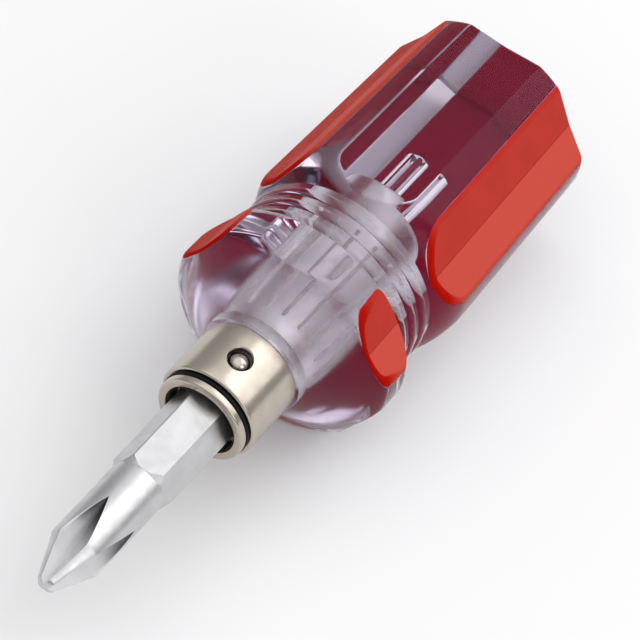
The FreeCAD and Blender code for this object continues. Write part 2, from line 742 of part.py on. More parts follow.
def make_bit(doc, dim):
    """The double-ended bit: cross-point, neck, hexagon, neck and flat blade."""
    body = new_body(doc, "bit")
    tip_edge = (dim.tip_edge_x, dim.tip_edge_radius)
    spin(body, "turned_bit", draw_outline(body_sketch(body, "bit_section", "XZ_Plane"), [
        (dim.bit_rear_x, 0),
        (dim.bit_rear_x, dim.neck_radius),
        (dim.cone_start_x, dim.neck_radius),
        tip_edge,
        *rounding(tip_edge, (dim.bit_tip_x, as_size(0)), "tip"),
    ]))
    hexagon = draw_hexagon(station_sketch(body, "hex_section", dim.hex_rear_x), dim.hex_flats)
    push(body, "hexagon", hexagon, dim.hex_front_x - dim.hex_rear_x)
    for name, face, inward in (("rear", dim.hex_rear_x, 1), ("front", dim.hex_front_x, -1)):
        sketch = body_sketch(body, f"{name}_bevel_section", "XZ_Plane")
        spin(body, f"{name}_bevel", draw_outline(sketch, bevel_outline(dim, face, inward)), "Groove")
    stations = (
        ("tip", dim.bit_tip_x, dim.cross_core),
        ("knee", dim.bit_tip_x - dim.cross_knee, dim.cross_knee_core),
        ("root", dim.bit_tip_x - dim.cross_length, dim.neck_radius),
    )
    sketches = []
    for name, station, core in stations:
        sketch = station_sketch(body, f"cross_{name}", station, dim.cross_roll)
        sketches.append(draw_outline(sketch, cross_outline(dim, core)))
    ring_of(body, "cross_ring", wedge_cut(body, "cross_flute", sketches), dim.cross_flutes)
    half = dim.blade_thickness / 2
    over = dim.neck_radius + dim.cutter_margin
    for side in (1, -1):
        sketch = draw_outline(body_sketch(body, "blade_section", "XZ_Plane"), [
            (dim.bit_rear_x, side * half),
            (dim.bit_rear_x + dim.blade_length, side * dim.neck_radius),
            (dim.bit_rear_x + dim.blade_length, side * over),
            (dim.bit_rear_x, side * over),
        ])
        push(body, "blade_flat", sketch, 2 * dim.cutter_radius, "Pocket", midplane=True)
    roll_to(body, dim.catch_roll)
    return [body]


# ---------------------------------------------------------------- whole part

def check(doc, pieces):
    """Stop at any failed object, or any piece that is not sound solid."""
    for thing in doc.Objects:
        if "Invalid" in thing.State or "Error" in thing.State:
            raise RuntimeError(f"{thing.Label} failed: {thing.State}")
    for piece in pieces:
        if piece.Shape.isNull() or not piece.Shape.isValid() or not piece.Shape.Solids:
            raise RuntimeError(f"{piece.Label} is not sound")


def main():
    doc = FreeCAD.newDocument("pocket_screwdriver")
    dim = Sizes(fill_sheet(doc))
    pieces = []
    for make in (make_handle, make_strips, make_tube, make_ball, make_spring, make_sleeve, make_collar,
                 make_ring, make_bit):
        pieces += make(doc, dim)
        doc.recompute()
    check(doc, pieces)
    os.makedirs("parts", exist_ok=True)
    for piece in pieces:
        piece.Shape.exportStep(f"parts/{piece.Label}.step")
        print(piece.Label, len(piece.Shape.Solids), "solid", round(piece.Shape.Volume, 2), "mm3")


main()
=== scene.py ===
"""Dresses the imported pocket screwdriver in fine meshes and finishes, and sets its floor, lights and camera."""
import math

import bmesh
import bpy
from bpy.props import FloatProperty, FloatVectorProperty, IntProperty, PointerProperty
from mathutils import Matrix, Vector


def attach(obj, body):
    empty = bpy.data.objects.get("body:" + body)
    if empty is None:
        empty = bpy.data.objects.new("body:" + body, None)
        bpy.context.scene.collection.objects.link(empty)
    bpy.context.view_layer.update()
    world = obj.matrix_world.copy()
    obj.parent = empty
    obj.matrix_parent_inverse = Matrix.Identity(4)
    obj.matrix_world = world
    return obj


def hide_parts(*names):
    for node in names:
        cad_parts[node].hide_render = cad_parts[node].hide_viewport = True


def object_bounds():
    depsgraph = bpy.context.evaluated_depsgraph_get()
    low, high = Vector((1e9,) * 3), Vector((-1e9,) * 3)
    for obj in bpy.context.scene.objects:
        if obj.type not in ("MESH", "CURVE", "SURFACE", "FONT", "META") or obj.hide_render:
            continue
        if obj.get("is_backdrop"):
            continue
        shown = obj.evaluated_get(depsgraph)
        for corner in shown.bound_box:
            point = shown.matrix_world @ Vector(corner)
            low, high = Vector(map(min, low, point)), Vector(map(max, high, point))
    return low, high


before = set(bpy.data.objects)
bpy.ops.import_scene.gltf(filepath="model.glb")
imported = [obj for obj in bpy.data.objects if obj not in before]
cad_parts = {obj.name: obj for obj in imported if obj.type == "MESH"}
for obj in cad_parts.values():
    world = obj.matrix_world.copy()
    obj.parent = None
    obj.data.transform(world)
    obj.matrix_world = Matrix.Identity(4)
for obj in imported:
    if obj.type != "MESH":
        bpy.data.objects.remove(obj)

bl_info = {
    "name": "Pocket screwdriver",
    "version": (1, 0, 0),
    "blender": (4, 5, 0),
    "location": "3D View > Sidebar > Screwdriver",
    "description": "Builds the visible pieces of a pocket screwdriver round its packed frame",
    "category": "Add Mesh",
}

# The driver's axis is X, from the centre of the back face to the bit's tip, and +Z is up as it lies.
# A "roll" is an angle about the axis, from +Z towards +Y. Points of an outline are (along X, radius).

MM = 0.001
TINY, NEARNESS = 1e-6, 1e-7
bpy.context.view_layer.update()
DRIVER, BALL_CATCH, BIT = "driver", "ball_catch", "reversible_bit"


def number(name, value, description, **kind):
    """A property that holds a number."""
    return FloatProperty(name=name, description=description, default=value, **kind)


def length(name, millimetres, description):
    """A property that holds a length, given in millimetres."""
    return number(name, millimetres * MM, description, min=0.0, unit="LENGTH", precision=5)


def angle(name, degrees, description):
    """A property that holds an angle, given in degrees."""
    return number(name, math.radians(degrees), description, subtype="ANGLE")


def colour(name, value, description):
    """A property that holds a colour."""
    return FloatVectorProperty(name=name, description=description, default=value, min=0.0, max=1.0,
                               subtype="COLOR")


def amount(name, value, least, description):
    """A property that holds a number of like things."""
    return IntProperty(name=name, description=description, default=value, min=least)


class HandleSizes(bpy.types.PropertyGroup):
    """Sizes of the clear handle and its red strips."""

    back_radius: length("Back radius", 11.9, "Radius at the back face")
    back_edge_round: length("Back edge", 0.5, "Rounding of the back edge")
    barrel_end_x: length("Barrel end", 24.0, "Where the barrel's taper ends")
    barrel_radius: length("Barrel radius", 12.7, "Largest radius of the barrel")
    waist_rear_x: length("Waist rear", 28.2, "Rear end of the waist")
    waist_radius: length("Waist radius", 11.0, "Radius of the waist between its beads")
    bead_middle_x: length("Middle bead", 31.45, "Middle one of the three beads")
    bead_pitch: length("Bead pitch", 1.85, "Distance from bead to bead")
    bead_half_width: length("Bead half width", 0.6, "Half the width of a bead")
    bead_rise: length("Bead rise", 0.3, "How far a bead stands out of the waist")
    waist_front_x: length("Waist front", 34.1, "Front end of the waist")
    bulb_rear_x: length("Bulb rear", 36.0, "Rear end of the bulb's full girth")
    bulb_radius: length("Bulb radius", 13.05, "Largest radius of the bulb")
    bulb_front_x: length("Bulb front", 38.6, "Front end of the bulb's full girth")
    nose_edge_x: length("Nose edge", 40.2, "Where the nose cone starts")
    nose_edge_radius: length("Nose edge radius", 11.8, "Radius of the nose cone at its start")
    boss_rear_x: length("Boss rear", 43.4, "Where the nose cone meets the boss")
    boss_radius: length("Boss radius", 6.0, "Radius of the boss")
    front_x: length("Front face", 44.6, "Front face of the boss")
    pilot_radius: length("Pilot radius", 1.3, "Radius of the blind hole behind the tube")
    pilot_rear_x: length("Pilot rear", 13.7, "Bottom of the blind hole")
    flutes: amount("Flutes", 6, 2, "Flutes round the handle, every second one red")
    crease_back_radius: length("Crease at the back", 10.8, "Radius of a flute's middle line at the back face")
    crease_front_radius: length("Crease in front", 12.25, "Radius of a flute's middle line at the boss")
    flute_fall: angle("Flute fall", 3.0, "Slope of a flute's two halves towards its middle line")
    edge_softness: length("Edge softness", 0.14, "Reach of the rounding along a flute's edges")
    strip_thickness: length("Strip thickness", 0.3, "Thickness of a red strip")
    strip_bite: length("Strip bite", 0.02, "How far a strip sits in the clear plastic")


class HolderSizes(bpy.types.PropertyGroup):
    """Sizes of the tube, sleeve, collar, ring and ball."""

    tube_radius: length("Tube radius", 4.75, "Outer radius of the holder tube")
    tube_rear_x: length("Tube rear", 22.0, "Rear end of the tube")
    tube_front_x: length("Tube front", 51.3, "Front end of the tube")
    spigot_rear_x: length("Spigot rear", 50.2, "Rear end of the tube's thinner spigot")
    knurl_rear_x: length("Knurl rear", 28.0, "Rear end of the tube's straight knurl")
    knurl_front_x: length("Knurl front", 40.0, "Front end of the knurl")
    knurl_teeth: amount("Knurl teeth", 16, 3, "Teeth of the knurl")
    knurl_height: length("Knurl height", 0.3, "Height of a knurl tooth")
    knurl_half_width: length("Knurl half width", 0.36, "Half the width of a tooth at its foot")
    socket_rear_x: length("Socket rear", 41.68, "Bottom of the hexagon socket")
    socket_flats: length("Socket flats", 6.45, "Width across the socket's flats")
    socket_lead: length("Socket lead-in", 0.9, "Depth of the socket's lead-in cone")
    lead_rim: length("Lead-in rim", 0.2, "Width of the tube's front face round the lead-in")
    rear_bore_radius: length("Rear bore", 3.3, "Radius of the tube's rear bore")
    seat_clearance: length("Seat clearance", 0.02, "Gap of pressed and moulded-in fits")
    sleeve_radius: length("Sleeve radius", 5.7, "Outer radius of the sleeve")
    sleeve_rear_x: length("Sleeve rear", 44.62, "Rear end of the sleeve")
    sleeve_front_x: length("Sleeve front", 52.28, "Front end of the sleeve")
    sleeve_round: length("Sleeve rounding", 0.3, "Rounding of the sleeve's ends")
    groove_radius: length("Groove radius", 5.4, "Radius of the spring band's groove in the sleeve")
    groove_half_width: length("Groove half width", 1.75, "Half the width of that groove")
    window_radius: length("Window radius", 1.4, "Radius of the ball's window")
    window_rim: length("Window rim", 0.14, "Width of the bevel round the window")
    mouth_radius: length("Mouth radius", 4.25, "Bore of the collar")
    collar_radius: length("Collar radius", 5.2, "Radius of the collar's flange")
    flange_rear_x: length("Flange rear", 52.85, "Rear face of the flange")
    collar_front_x: length("Collar front", 53.7, "Front of the collar")
    collar_round: length("Collar rounding", 0.3, "Rounding of the flange")
    mouth_round: length("Mouth rounding", 0.12, "Rounding of the collar's bore at its front")
    ring_section: length("Ring section", 0.27, "Radius of the black ring's section")
    ring_side_gap: length("Ring side gap", 0.015, "Gap at each side of the black ring")
    ball_x: length("Ball place", 48.5, "Place of the ball along the axis")
    ball_radius: length("Ball radius", 1.25, "Radius of the ball")
    ball_height: length("Ball height", 4.445, "Distance of the ball's centre from the axis")
    catch_roll: angle("Catch roll", 6.5, "Roll of the ball and of the socket's flat under it")


class BitSizes(bpy.types.PropertyGroup):
    """Sizes of the double-ended bit."""

    flats: length("Flats", 6.35, "Width across the hexagon's flats")
    corner_radius: length("Corner radius", 3.62, "Radius out to the hexagon's dulled corners")
    neck_radius: length("Neck radius", 3.15, "Radius of the round necks")
    hex_rear_x: length("Hexagon rear", 41.7, "Rear end of the hexagon")
    hex_front_x: length("Hexagon front", 64.3, "Front end of the hexagon")
    hex_chamfer: length("Hexagon bevel", 0.9, "Length of the cone that bevels the hexagon's ends")
    cone_start_x: length("Cone start", 74.8, "Where the cross-point's cone starts")
    tip_edge_x: length("Tip edge", 79.3, "Where the cone meets the blunt tip")
    tip_edge_radius: length("Tip edge radius", 1.2, "Radius there")
    tip_x: length("Tip", 80.0, "Tip of the cross-point end")
    cross_flutes: amount("Cross flutes", 4, 2, "Flutes of the cross-point")
    cross_core: length("Cross core", 0.45, "Radius left at the tip between two opposite flutes")
    cross_knee: length("Cross knee", 4.8, "Length of the level part of a cross-point flute")
    cross_knee_core: length("Cross knee core", 0.85, "Radius left where the level part ends")
    cross_length: length("Cross length", 11.0, "Length of a cross-point flute with its run-out")
    cross_roll: angle("Cross roll", -14.0, "Roll of the cross-point against the hexagon")
    rear_x: length("Blade end", 26.0, "End of the flat blade")
    blade_thickness: length("Blade thickness", 1.0, "Thickness of the flat blade at its end")
    blade_length: length("Blade length", 9.0, "Length of the flat blade's taper")


class FinishColours(bpy.types.PropertyGroup):
    """Colours of the finishes."""

    clear: colour("Clear plastic", (0.97, 0.96, 0.985), "Tint of the clear handle's surface")
    clear_depth: colour("Clear plastic depth", (0.40, 0.24, 0.56), "Tint that light takes on inside the handle")
    red: colour("Red plastic", (0.48, 0.042, 0.03), "Red strips")
    # Painted light: the lower halves of the strips are painted paler, as if lit from that side.
    red_pale: colour("Red plastic, paler half", (0.55, 0.072, 0.052), "Lower halves of the red strips")
    # Painted shade: a darker, deeper red painted along the strips' edges where they run out of the flutes.
    red_rim: colour("Red plastic rim", (0.40, 0.005, 0.001), "Red strips where they run out of the flutes")
    # Painted shade: a dark line painted along the middle crease of each strip.
    red_crease: colour("Red plastic crease", (0.16, 0.004, 0.004), "Middle lines of the red strips")
    red_inside: colour("Red plastic inside", (0.50, 0.008, 0.055), "Red strips seen through the clear plastic")
    nickel: colour("Nickel plate", (0.53, 0.47, 0.405), "Sleeve and collar")
    steel: colour("Tube steel", (0.82, 0.80, 0.79), "Holder tube")
    bit: colour("Bit steel", (0.60, 0.60, 0.61), "Double-ended bit")
    # Painted shade and painted dark reflection on the ends of the cross-point's flutes.
    bit_runout_shade: colour("Bit steel, dark", (0.035, 0.03, 0.04), "Ends of the cross-point's flutes")
    ball: colour("Ball steel", (0.50, 0.46, 0.42), "Ball of the catch")
    spring: colour("Spring steel", (0.42, 0.41, 0.42), "Spring band")
    black: colour("Black ring", (0.004, 0.004, 0.004), "Ring in front of the sleeve")
    floor: colour("Floor", (0.86, 0.86, 0.87), "Floor")


class StageSettings(bpy.types.PropertyGroup):
    """Camera, floor and lights."""

    azimuth: angle("Azimuth", 114.7, "Direction of the camera round the object")
    elevation: angle("Elevation", 51.2, "Height of the camera above the horizon")
    roll: angle("Roll", 12.6, "Turn of the camera about its line of sight")
    aim_x: length("Aim", 27, "Point of the axis that the camera is set by")
    aim_across: number("Aim across", 348 / 640, "Place of that point, from the picture's left",
                       subtype="FACTOR")
    aim_down: number("Aim down", 261.5 / 640, "Place of that point, from the picture's top", subtype="FACTOR")
    distance: length("Distance", 500, "From the camera to that point")
    spread: length("Spread", 640 / 9.62, "Width of the picture at that distance")
    key: number("Key light", 1.65, "Power of the key light", unit="POWER")
    fill: number("Fill light", 0.8, "Power of the fill light", unit="POWER")
    air: number("Air light", 1.0, "Strength of the light from all round")


class DriverSettings(bpy.types.PropertyGroup):
    """Everything that the pieces and the stage are made from."""

    handle: PointerProperty(type=HandleSizes)
    holder: PointerProperty(type=HolderSizes)
    bit: PointerProperty(type=BitSizes)
    colours: PointerProperty(type=FinishColours)
    stage: PointerProperty(type=StageSettings)


# ---- node trees

MIX_FIRST, MIX_SECOND, MIX_RESULT = 6, 7, 2  # colour sockets of a Mix node


class Graph:
    """Short calls for building a node tree."""

    def __init__(self, tree):
        self.tree = tree

    @classmethod
    def of(cls, owner):
        """The emptied tree of a material or a world."""
        owner.use_nodes = True
        owner.node_tree.nodes.clear()
        return cls(owner.node_tree)

    def add(self, kind, inputs=(), **settings):
        """A new node, with its settings and its inputs: plain values or the outputs of other nodes."""
        node = self.tree.nodes.new(kind)
        for name, value in settings.items():
            setattr(node, name, value)
        for key, value in dict(inputs).items():
            if isinstance(value, bpy.types.NodeSocket):
                self.tree.links.new(value, node.inputs[key])
            else:
                node.inputs[key].default_value = value
        return node

    def math(self, operation, *values):
        """The result of a math node."""
        return self.add("ShaderNodeMath", dict(enumerate(values)), operation=operation).outputs[0]

    def parts(self, place):
        """X, Y and Z of a place."""
        return self.add("ShaderNodeSeparateXYZ", {0: place}).outputs

    def radius(self, part):
        """Distance from the driver's axis, by the parts of a place."""
        return self.math("SQRT", self.math("ADD", *(self.math("POWER", part[name], 2.0) for name in "YZ")))

    def ramp(self, value, start, end, low=0.0, high=1.0):
        """Goes from low to high while a value goes from start to end."""
        return self.add("ShaderNodeMapRange", {
            "Value": value, "From Min": start, "From Max": end, "To Min": low, "To Max": high,
        }).outputs[0]

    def blend(self, share, *colours):
        """A colour that gives way to a second one by a share. Each is a socket or three numbers."""
        first, second = (tone if isinstance(tone, bpy.types.NodeSocket) else (*tone, 1) for tone in colours)
        return self.add("ShaderNodeMix", {0: share, MIX_FIRST: first, MIX_SECOND: second},
                        data_type="RGBA").outputs[MIX_RESULT]


def new_shape_tree(name, sockets):
    """An empty geometry tree with a geometry input, further named inputs and a geometry output."""
    tree = bpy.data.node_groups.new(name, "GeometryNodeTree")
    for label, kind in {"Shape": "Geometry", **sockets, "Finish": "Material"}.items():
        tree.interface.new_socket(label, in_out="INPUT", socket_type=f"NodeSocket{kind}")
    tree.interface.new_socket("Shape", in_out="OUTPUT", socket_type="NodeSocketGeometry")
    graph = Graph(tree)
    return graph, graph.add("NodeGroupInput").outputs


def end_shape_tree(graph, shape, finish):
    """Realize what the tree made, give it its material and lead it out."""
    real = graph.add("GeometryNodeRealizeInstances", {"Geometry": shape}).outputs[0]
    painted = graph.add("GeometryNodeSetMaterial", {"Geometry": real, "Material": finish}).outputs[0]
    graph.add("NodeGroupOutput", {0: painted})
    return graph.tree


def flute_tree():
    """Presses evenly spaced two-sided flutes into a turned skin, every second one of them deeper."""
    graph, given = new_shape_tree("press_flutes", {"Flutes": "Int", **dict.fromkeys(
        ("Back crease", "Crease gain", "Fall", "Red depth", "Softness"), "Float")})
    part = graph.parts(graph.add("GeometryNodeInputPosition").outputs[0])
    radius = graph.radius(part)
    turned = graph.math("ARCTAN2", part["Y"], part["Z"])
    pitch = graph.math("DIVIDE", 2 * math.pi, given["Flutes"])
    which = graph.math("ROUND", graph.math("DIVIDE", turned, pitch))
    aside = graph.math("ABSOLUTE", graph.math("SUBTRACT", turned, graph.math("MULTIPLY", which, pitch)))
    odd = graph.math("MODULO", graph.math("ABSOLUTE", which), 2.0)
    crease = graph.math("MULTIPLY_ADD", part["X"], given["Crease gain"], given["Back crease"])
    crease = graph.math("SUBTRACT", crease, graph.math("MULTIPLY", odd, given["Red depth"]))
    lean = graph.math("MULTIPLY", graph.math("SINE", aside), graph.math("TANGENT", given["Fall"]))
    limit = graph.math("DIVIDE", crease, graph.math("SUBTRACT", graph.math("COSINE", aside), lean))
    inset = graph.add("GeometryNodeInputNamedAttribute", {"Name": "inset"}, data_type="FLOAT").outputs[0]
    full = graph.math("ADD", radius, inset)
    pressed = graph.math("SUBTRACT", graph.math("SMOOTH_MIN", full, limit, given["Softness"]), inset)
    ratio = graph.math("DIVIDE", pressed, graph.math("MAXIMUM", radius, TINY))
    moved = graph.add("ShaderNodeCombineXYZ", {
        "X": part["X"], **{name: graph.math("MULTIPLY", part[name], ratio) for name in "YZ"},
    }).outputs[0]
    shape = graph.add("GeometryNodeSetPosition", {"Geometry": given["Shape"], "Position": moved}).outputs[0]
    return end_shape_tree(graph, shape, given["Finish"])


def rolled_copies(graph, given):
    """Copies of the given shape, evenly spaced round the axis from the first roll on."""
    points = graph.add("GeometryNodePoints", {"Count": given["Count"]}).outputs[0]
    which = graph.add("GeometryNodeInputIndex").outputs[0]
    pitch = graph.math("DIVIDE", 2 * math.pi, given["Count"])
    roll = graph.math("MULTIPLY_ADD", which, pitch, given["First roll"])
    turn = graph.add("ShaderNodeCombineXYZ", {"X": graph.math("MULTIPLY", roll, -1.0)}).outputs[0]
    return graph.add("GeometryNodeInstanceOnPoints", {
        "Points": points, "Instance": given["Shape"], "Rotation": turn,
    }).outputs[0]


def roll_tree():
    """Repeats a shape round the driver's axis."""
    graph, given = new_shape_tree("roll_round_axis", {"Count": "Int", "First roll": "Float"})
    return end_shape_tree(graph, rolled_copies(graph, given), given["Finish"])


def knurl_tree():
    """Repeats a tooth round the axis and melts the teeth into a tube."""
    graph, given = new_shape_tree("raise_knurl", {"Count": "Int", "First roll": "Float", "Tube": "Object"})
    tube = graph.add("GeometryNodeObjectInfo", {"Object": given["Tube"]}).outputs["Geometry"]
    teeth = graph.add("GeometryNodeRealizeInstances", {"Geometry": rolled_copies(graph, given)}).outputs[0]
    union = graph.add("GeometryNodeMeshBoolean", operation="UNION")
    for shape in (tube, teeth):
        graph.tree.links.new(shape, union.inputs["Mesh 2"])
    return end_shape_tree(graph, union.outputs["Mesh"], given["Finish"])


def grow(shape, make_tree, values, name, sharp):
    """Run a tree on a working object and keep the result as a plain piece."""
    tree = make_tree()
    modifier = shape.modifiers.new("rule", "NODES")
    modifier.node_group = tree
    for item in tree.interface.items_tree:
        if item.in_out == "INPUT" and item.name in values:
            modifier[item.identifier] = values[item.name]
    return settle(shape, name, sharp)


def settle(shape, name, sharp):
    """Turn a working object with its modifiers into a plain piece, smooth but for its sharp edges."""
    bpy.context.view_layer.update()
    evaluated = shape.evaluated_get(bpy.context.evaluated_depsgraph_get())
    mesh = bpy.data.meshes.new_from_object(evaluated)
    bpy.data.objects.remove(shape)
    piece = link_new(name, mesh)
    mesh.shade_smooth()
    mesh.set_sharp_from_angle(angle=math.radians(sharp))
    return piece


def link_new(name, data):
    """A new object in the scene."""
    made = bpy.data.objects.new(name, data)
    bpy.context.scene.collection.objects.link(made)
    return made


# ---- outlines and rings

def clamp(value):
    """A value kept between 0 and 1."""
    return min(max(value, 0.0), 1.0)


def between(start, end, steps):
    """Evenly spaced values from start to end, both included."""
    return [start + (end - start) * step / steps for step in range(steps + 1)]


def straight(start, end, steps):
    """Corners on the way from start to end, both included."""
    return list(zip(*(between(*ends, steps) for ends in zip(start, end))))


def rounding(level, far, chords, sweep=90.0):
    """Corners on the way from level, where the outline runs along the axis, round to far."""
    corners = []
    for degrees in between(0.0, sweep, chords)[1:]:
        turned = math.radians(degrees)
        along = math.sin(turned) / math.sin(math.radians(sweep))
        aside = (1 - math.cos(turned)) / (1 - math.cos(math.radians(sweep)))
        corners.append((level[0] + along * (far[0] - level[0]), level[1] + aside * (far[1] - level[1])))
    return corners


def rounding_back(far, level, chords, sweep=90.0):
    """The same corners, from far round to level."""
    return rounding(level, far, chords, sweep)[-2::-1] + [level]


def polar(along, radius, roll):
    """A point by its place along the axis, its radius and its roll."""
    return Vector((along, radius * math.sin(roll), radius * math.cos(roll)))


def ring(along, rolls, reach):
    """A ring round the axis: its radius follows a rule from each point's angle in its sector."""
    return [polar(along, reach(aside), roll) for roll, aside in rolls]


def bridge(mesh, rows):
    """Faces from each row of corners to the next; a row may be one corner."""
    for row, after in zip(rows, rows[1:]):
        for index in range(max(len(row), len(after))):
            add_face(mesh, (row[index % len(row)], row[(index + 1) % len(row)],
                            after[(index + 1) % len(after)], after[index % len(after)]))


def add_face(mesh, corners):
    """A face through corners, of which some may be the same."""
    mesh.faces.new(list(dict.fromkeys(corners)))


def skin(name, rings, closed=False):
    """A closed shell through rings of equally many points; a ring may be one point."""
    mesh = bmesh.new()
    rows = [[mesh.verts.new(point) for point in ring] for ring in rings]
    bridge(mesh, rows + (rows[:1] if closed else []))
    return seal(mesh, name)


def seal(mesh, name, nearness=NEARNESS):
    """Merge a mesh's doubles, turn its faces outwards and put it in a working object."""
    bmesh.ops.remove_doubles(mesh, verts=mesh.verts, dist=nearness)
    bmesh.ops.dissolve_degenerate(mesh, edges=mesh.edges, dist=nearness)
    bmesh.ops.recalc_face_normals(mesh, faces=mesh.faces)
    data = bpy.data.meshes.new(name)
    mesh.to_mesh(data)
    mesh.free()
    return link_new(name, data)


def turn_up(name, outline, rolls, closed=False):
    """Spin an outline about the axis. A corner on the axis becomes a pole."""
    return skin(name, [[polar(along, radius, roll) for roll in rolls] if radius > 0 else [Vector((along, 0, 0))]
                       for along, radius in outline], closed)


def even_rolls(columns):
    """Rolls evenly round the axis."""
    return between(0.0, 2 * math.pi, columns)[:-1]


def hoop(name, outline):
    """Spin a closed outline about the axis, in fine columns."""
    return turn_up(name, outline, even_rolls(METAL_COLUMNS), closed=True)


def cut_away(piece, cutter):
    """Take a cutter out of a working object."""
    modifier = piece.modifiers.new("cut", "BOOLEAN")
    modifier.object = cutter
    modifier.operation = "DIFFERENCE"
    modifier.solver = "EXACT"
    made = settle(piece, piece.name, sharp=30.0)
    bpy.data.objects.remove(cutter)
    return made


def dress(piece, body, slot, *nodes):
    """Give a finished piece its material, its body and the nodes that it stands for."""
    piece.data.materials.clear()
    piece.data.materials.append(finish(slot))
    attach(piece, body)
    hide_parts(*nodes)
    return piece


# ---- finishes

PATCH_DETAIL, PATCH_SPAN = 3.0, (0.3, 0.7)
MARK_DETAIL, MARK_ROUGHNESS = 4.0, 0.6


def blotches(graph, place, scale, low=0.0, high=1.0):
    """Soft random patches between two values."""
    noise = graph.add("ShaderNodeTexNoise", {"Vector": place, "Scale": scale, "Detail": PATCH_DETAIL})
    return graph.ramp(noise.outputs["Fac"], *PATCH_SPAN, low, high)


def scratches(graph, place, scale, stretch):
    """Fine marks that run one way."""
    stretched = graph.add("ShaderNodeMapping", {"Vector": place, "Scale": stretch}).outputs[0]
    return graph.add("ShaderNodeTexNoise", {
        "Vector": stretched, "Scale": scale, "Detail": MARK_DETAIL, "Roughness": MARK_ROUGHNESS,
    }).outputs["Fac"]


CLEAR_DENSITY = 16.0
SEAT_FROST, NOSE_FROST = 0.5, 0.2
SEAT_REAR, SEAT_RADIUS, SEAT_FADE = 20 * MM, 4.6 * MM, (0.5 * MM, 0.7 * MM)
NOSE_FADE = (38 * MM, 41 * MM)
# The bore's painted shade: where it fades in, its least lightness and its colour.
BORE_FADE, BORE_LEAST, BORE_SHADE = (4.05 * MM, 4.2 * MM), 0.04, (0.01, 0.009, 0.01)
STRIP_RADIUS = 12  # millimetres round a strip in one radian
# Spans over which the painted light of a strip's paler half and the painted shade along its crease fade in.
LIT_HALF_FADE, CREASE_SHADE_FADE = (-0.1, 0.1), (0.03, 0.09, 0.55, 0.0)

# slot: colour property, shade of its patches, roughness from and to, metallic, patches and marks per metre,
# stretch of the marks, their height in metres, further settings of the surface
FINISHES = {
    "clear_plastic": ("clear", 0.985, (0.03, 0.08), 0.0, 220, 0, (1, 1, 1), 0.0,
                      {"Transmission Weight": 1.0, "IOR": 1.49, "Specular Tint": (0.30, 0.26, 0.34, 1)}),
    "red_plastic": ("red", 0.90, (0.38, 0.5), 0.0, 260, 2600, (0.5, 1, 1), 4e-6,
                    {"IOR": 1.5, "Specular IOR Level": 0.006}),
    "nickel_plate": ("nickel", 0.93, (0.20, 0.28), 1.0, 380, 3000, (4, 0.35, 0.35), 1.2e-6, {}),
    "bit_steel": ("bit", 0.90, (0.28, 0.42), 1.0, 420, 3600, (3, 0.6, 0.6), 2.5e-6, {}),
    "tube_steel": ("steel", 0.80, (0.45, 0.65), 0.6, 420, 3000, (5, 0.3, 0.3), 3e-6, {}),
    "ball_steel": ("ball", 0.9, (0.14, 0.22), 1.0, 700, 4000, (1, 1, 1), 5e-7, {}),
    "spring_steel": ("spring", 0.85, (0.3, 0.45), 1.0, 500, 3000, (1, 1, 4), 2e-6, {}),
    "black_rubber": ("black", 0.7, (0.45, 0.6), 0.0, 900, 6000, (1, 1, 1), 5e-6, {"Specular IOR Level": 0.15}),
}
# slot: attributes of its pieces, and the colour that each brings
# The rim attribute and the bit's flute-end attribute carry painted shade.
COVERS = {"red_plastic": {"rim": "red_rim", "inside": "red_inside"}, "bit_steel": {"burnt": "bit_runout_shade"}}


def finish(slot):
    """The material of a slot, made when it is first asked for."""
    label = f"{slot}_finish"
    if label in bpy.data.materials:
        return bpy.data.materials[label]
    colours = bpy.context.scene.screwdriver.colours
    tint, shade, roughness, metallic, patch_scale, mark_scale, stretch, height, more = FINISHES[slot]
    value = getattr(colours, tint)
    made = bpy.data.materials.new(label)
    graph = Graph.of(made)
    place = graph.add("ShaderNodeTexCoord").outputs["Object"]
    paint = graph.blend(blotches(graph, place, patch_scale), value, [shade * part for part in value])
    rough = blotches(graph, place, patch_scale * 2, *roughness)
    # Painted shade inside the tube's bore.
    if slot == "tube_steel":
        paint = shaded_bore(graph, place, paint)
    # Painted light on one half of each strip, and painted shade along its crease.
    if slot == "red_plastic":
        paint = lit_strip_and_crease(graph, place, paint)
    if slot == "clear_plastic":
        rough = frosted_parts(graph, place, rough)
    for attribute, cover in COVERS.get(slot, {}).items():
        share = graph.add("ShaderNodeAttribute", attribute_name=attribute).outputs["Fac"]
        paint = graph.blend(share, paint, getattr(colours, cover))
    surface = graph.add("ShaderNodeBsdfPrincipled", {
        "Base Color": paint, "Metallic": metallic, "Roughness": rough, **more,
    })
    if height:
        marks = scratches(graph, place, mark_scale, stretch)
        bump = graph.add("ShaderNodeBump", {"Height": marks, "Distance": height, "Strength": 1.0})
        graph.tree.links.new(bump.outputs[0], surface.inputs["Normal"])
    out = graph.add("ShaderNodeOutputMaterial", {"Surface": surface.outputs[0]})
    if slot == "clear_plastic":
        depth = graph.add("ShaderNodeVolumeAbsorption", {
            "Color": (*colours.clear_depth, 1), "Density": CLEAR_DENSITY,
        })
        graph.tree.links.new(depth.outputs[0], out.inputs["Volume"])
    return made


